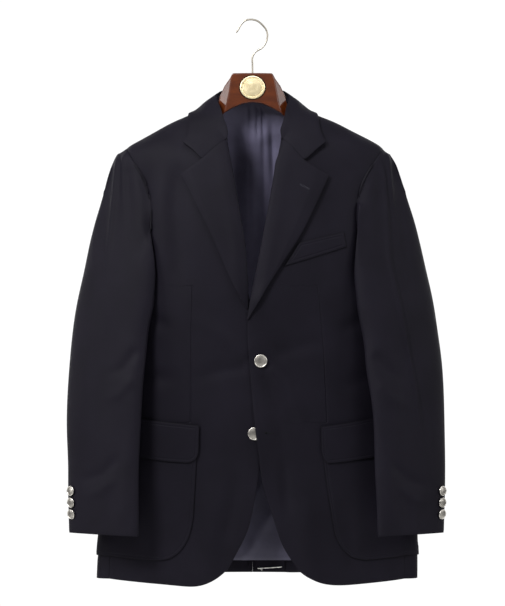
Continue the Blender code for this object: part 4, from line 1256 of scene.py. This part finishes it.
def stitched(name, points, edges, thread, slot, **sizes):
    """Runs the tree on lines of points and keeps the result as a plain mesh on the coat."""
    thing = link(name, points, (), edges)
    sewing = thing.modifiers.new("sewing", "NODES")
    sewing.node_group = STITCHES
    socket = {item.name: item.identifier for item in STITCHES.interface.items_tree if item.in_out == "INPUT"}
    sewing[socket["Thread"]] = thread
    for key, value in sizes.items():
        sewing[socket[key]] = value
    apply_modifiers(thing)
    if not thing.data.materials:
        thing.data.materials.append(thread)
    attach(thing, "root")
    return thing


# %% Thread
PLY_SPACING = 0.0003


def thread_material(name, tint, gloss):
    """Spun thread: two plies wound round each other, seen as fine slanting lines."""
    material, tree = new_material(name, Roughness=gloss, Specular_IOR_Level=0.12, Sheen_Weight=0.04,
                                  Sheen_Roughness=0.4)
    laid = stretched(tree, object_place(tree), (1.0, 1.0, 1.0), (0.4, 0.3, 0.8))
    plies = wave(tree, split(tree, laid)[0], PLY_SPACING)
    drive(tree, Base_Color=tinted(tree, tint, remap(tree, plies, -1.0, 1.0, 0.82, 1.1)),
          Normal=bump(tree, plies, 0.3, 0.0001))
    return material


SILK_THREAD = thread_material("navy_silk_thread", "17171e", 0.7)
BUTTONHOLE_SILK = thread_material("grey_buttonhole_silk", "3d3c46", 0.6)
TACKING_THREAD = thread_material("white_cotton_tacking_thread", "f4f2ee", 0.75)
# Near-black painted shade for the open slit and eyelet of the buttonholes and for the left badge pin.
PAINTED_HOLE_SHADE = thread_material("near_black_painted_hole_shade", "060607", 0.95)


# %% Lines drawn on the finished cloth
def contour(thing, value):
    """The line on a sheet at one distance from its edge, as points and edges."""
    mesh = thing.data
    points = places(mesh)
    level = read(mesh.attributes["edge"].data, "value", 1)[:, 0] - value
    found, corners, edges = {}, [], []
    for polygon in mesh.polygons:
        crossed = []
        for a, b in polygon.edge_keys:
            if (level[a] > 0) == (level[b] > 0):
                continue
            if (a, b) not in found:
                t = level[a] / (level[a] - level[b])
                found[(a, b)] = len(corners)
                corners.append(points[a] * (1 - t) + points[b] * t)
            crossed.append(found[(a, b)])
        if len(crossed) == 2:
            edges.append(tuple(crossed))
    return corners, edges


def surface_of(*names):
    """Every face of some finished cloth, walls included, ready to be probed."""
    corners, faces = [], []
    for name in names:
        mesh = evaluated(MADE[name])
        start = len(corners)
        corners += [v.co.copy() for v in mesh.vertices]
        faces += [tuple(start + v for v in p.vertices) for p in mesh.polygons]
        bpy.data.meshes.remove(mesh)
    return BVHTree.FromPolygons(corners, faces)


BACKWARDS = Vector((0, 1, 0))
IN_FRONT = -0.3     # a place in front of the whole coat, from which its front is probed


def laid_line(surface, line, start_y=IN_FRONT, step=0.0004, lift=0.0001):
    """A line given from the front in millimetres, laid on a surface seen from the front."""
    corners = []
    line = np.array(line, float) / 1000
    for a, b in zip(line, line[1:]):
        for t in np.linspace(0, 1, max(2, int(np.linalg.norm(b - a) / step))):
            x, z = a + (b - a) * t
            spot = surface.ray_cast(Vector((x, start_y, z)), BACKWARDS)[0]
            if spot is not None:
                corners.append(spot - BACKWARDS * lift)
    return corners, [(i, i + 1) for i in range(len(corners) - 1)]


# %% Topstitching
for name, row in (("patch_pocket_left", 0.005), ("patch_pocket_right", 0.005), ("flap_left", 0.0055),
                  ("flap_right", 0.0055), ("breast_welt", 0.0024)):
    seam = stitched("topstitch_%s_1" % name, *contour(MADE[name], row), SILK_THREAD, "wool_twill",
                    Pitch=0.0028, Length=0.0021, Thickness=0.00032)
    print("  %-30s %5d faces" % (seam.name, len(seam.data.polygons)))


# %% [markdown]
# ## Buttonholes
# A tailored buttonhole is a slit bound on both sides with purl stitches set close together, and
# the ones that are used start in a round eyelet, where the button's shank sits. The lapel has one
# too, although nothing is fastened there. The stitches lie across the slit, so the same tree is
# used with its other direction.

# %% Buttonholes on the left front and on the left lapel
SLIT_HALF_WIDTH = 0.75     # millimetres


def buttonhole(name, node_name, start, end, silk, eyelet):
    surface = surface_of(node_name)
    start, end = np.array(start, float), np.array(end, float)
    way = (end - start) / np.linalg.norm(end - start)
    side = np.array((-way[1], way[0])) * SLIT_HALF_WIDTH
    corners, edges = [], []
    for off in (-side, side):
        row, links = laid_line(surface, (start + off, end + off))
        edges += [(a + len(corners), b + len(corners)) for a, b in links]
        corners += row

    def sewn(part, line, thread, **sizes):
        stitched(name + part, *line, thread, "wool_twill", **sizes)

    sewn("_purl", (corners, edges), silk, Pitch=0.0006, Length=0.0013, Thickness=0.0004, Across=True)
    # The slit and the eyelet's hole are near-black beads: painted shade where the cloth is open.
    sewn("_slit", laid_line(surface, (start, end)), PAINTED_HOLE_SHADE, Pitch=0.0005, Length=0.001, Thickness=0.0006)
    if eyelet:
        turns = [2 * math.pi * k / 12 for k in range(13)]
        for part, radius, thread, thick in (("ring", 1.5, silk, 0.0006), ("hole", 0.7, PAINTED_HOLE_SHADE, 0.0022)):
            ring = [start + radius * np.array((math.cos(t), math.sin(t))) for t in turns]
            sewn("_eyelet_" + part, laid_line(surface, ring, step=0.0002), thread,
                 Pitch=0.0005, Length=0.0012, Thickness=thick)


buttonhole("front_buttonhole", "front_left", (21.4, -659.0), (34.0, -659.6), SILK_THREAD, True)
buttonhole("lapel_buttonhole", "lapel_left", (76.0, -263.0), (90.5, -271.0), BUTTONHOLE_SILK, False)
print("buttonholes: one bound with an eyelet, one on the lapel")


# %% [markdown]
# ## The tacking thread at the vent
# The vent is still tacked shut with white cotton, in long slack stitches across the hem, and its
# end is left hanging in a knot. It is the only pale thing on the dark cloth, so it is worth its
# few stitches.

# %% White tacks
inside = surface_of("back_left", "back_right", "vent_underlap", "lining_back")
for name, line, step, sizes in (
        ("vent_tacks", ((13.0, -877.7), (27.6, -876.9), (42.2, -875.8)), 0.001,
         {"Pitch": 0.0096, "Length": 0.0118, "Thickness": 0.0017}),
        ("vent_tack_knot", ((14.0, -877.5), (13.2, -879.0), (14.6, -880.6), (15.6, -879.2)), 0.0004,
         {"Pitch": 0.0007, "Length": 0.0016, "Thickness": 0.0008})):
    row, links = laid_line(inside, line, 0.0, step, lift=0.0006)
    stitched(name, row, links, TACKING_THREAD, "lining_satin", **sizes)
print("tacks:", len(row), "points in the knot")


# %% [markdown]
# ## The badge's seat
# The badge is let into the wood: a shallow ring is routed round it, and two small pins hold it. The ring is a
# thin moulding round the disc, coloured near-black brown as a painted shadow in the gap round the badge, and
# the left pin is a near-black dot of painted shade.

# %% The ring round the badge and its two pins
SEAT = (     # millimetres: from the badge's edge outwards, in front of the wood's face
    (-0.9, 0.10), (-0.2, 0.34), (0.5, 0.40), (1.1, 0.30), (1.6, 0.05), (1.6, -0.6), (-0.9, -0.6),
)


BADGE_RADIUS = 20.0


def badge_shadow_ring(material, sides=72):
    corners = []
    for k in range(sides):
        turn = 2 * math.pi * k / sides
        for out, front in SEAT:
            radius = BADGE_RADIUS + out
            corners.append((radius * math.cos(turn) / 1000, (-BLOCK_DEPTH - front) / 1000,
                            (BADGE_CENTRE[2] * 1000 + BADGE_SQUASH * radius * math.sin(turn)) / 1000))
    hard_piece("badge_shadow_ring", corners, tube_faces(sides, len(SEAT), closed=True), [material])


# The ring's near-black brown is a painted shadow round the badge, made with the thread material.
badge_shadow_ring(thread_material("painted_shadow_round_the_badge", "1d0c06", 0.7))
# The left pin is a near-black dot of painted shade; the right one is brass.
for name, x, finish in (("badge_pin_left", -0.0177, PAINTED_HOLE_SHADE), ("badge_pin_right", 0.0181, BRASS)):
    spot = Vector((x, -0.0168, -0.1076))
    stitched(name, (spot, spot + Vector((0.0003, 0, 0))), ((0, 1),), finish, "badge_brass",
             Pitch=0.001, Length=0.0016, Thickness=0.0013)
print("badge: a seat and two pins")


# %% [markdown]
# ## Each sheet and its cut
# Each sheet's flat size, as measured on its own pattern, is printed.

for name, thing in MADE.items():
    width, length, area = CUT[thing.name]
    stem, _, word = name.rpartition("_")
    print("  %-20s %.3f x %.3f m, %.4f m2" % (name, width, length, area))


# %% Sizes, and the end
triangles = {}
for thing in bpy.context.scene.objects:
    if thing.type == "MESH" and thing not in NODES.values() and thing is not floor:
        mesh = evaluated(thing)
        triangles[thing.name] = sum(len(p.vertices) - 2 for p in mesh.polygons)
        bpy.data.meshes.remove(mesh)
most = max(triangles, key=triangles.get)
print("triangles:", sum(triangles.values()), "in all, most in", most, triangles[most])

sizes = {"cad": [list(map(float, corner)) for corner in CAD_BOX],
         "visual": [list(map(float, corner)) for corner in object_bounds()]}
print(sizes)
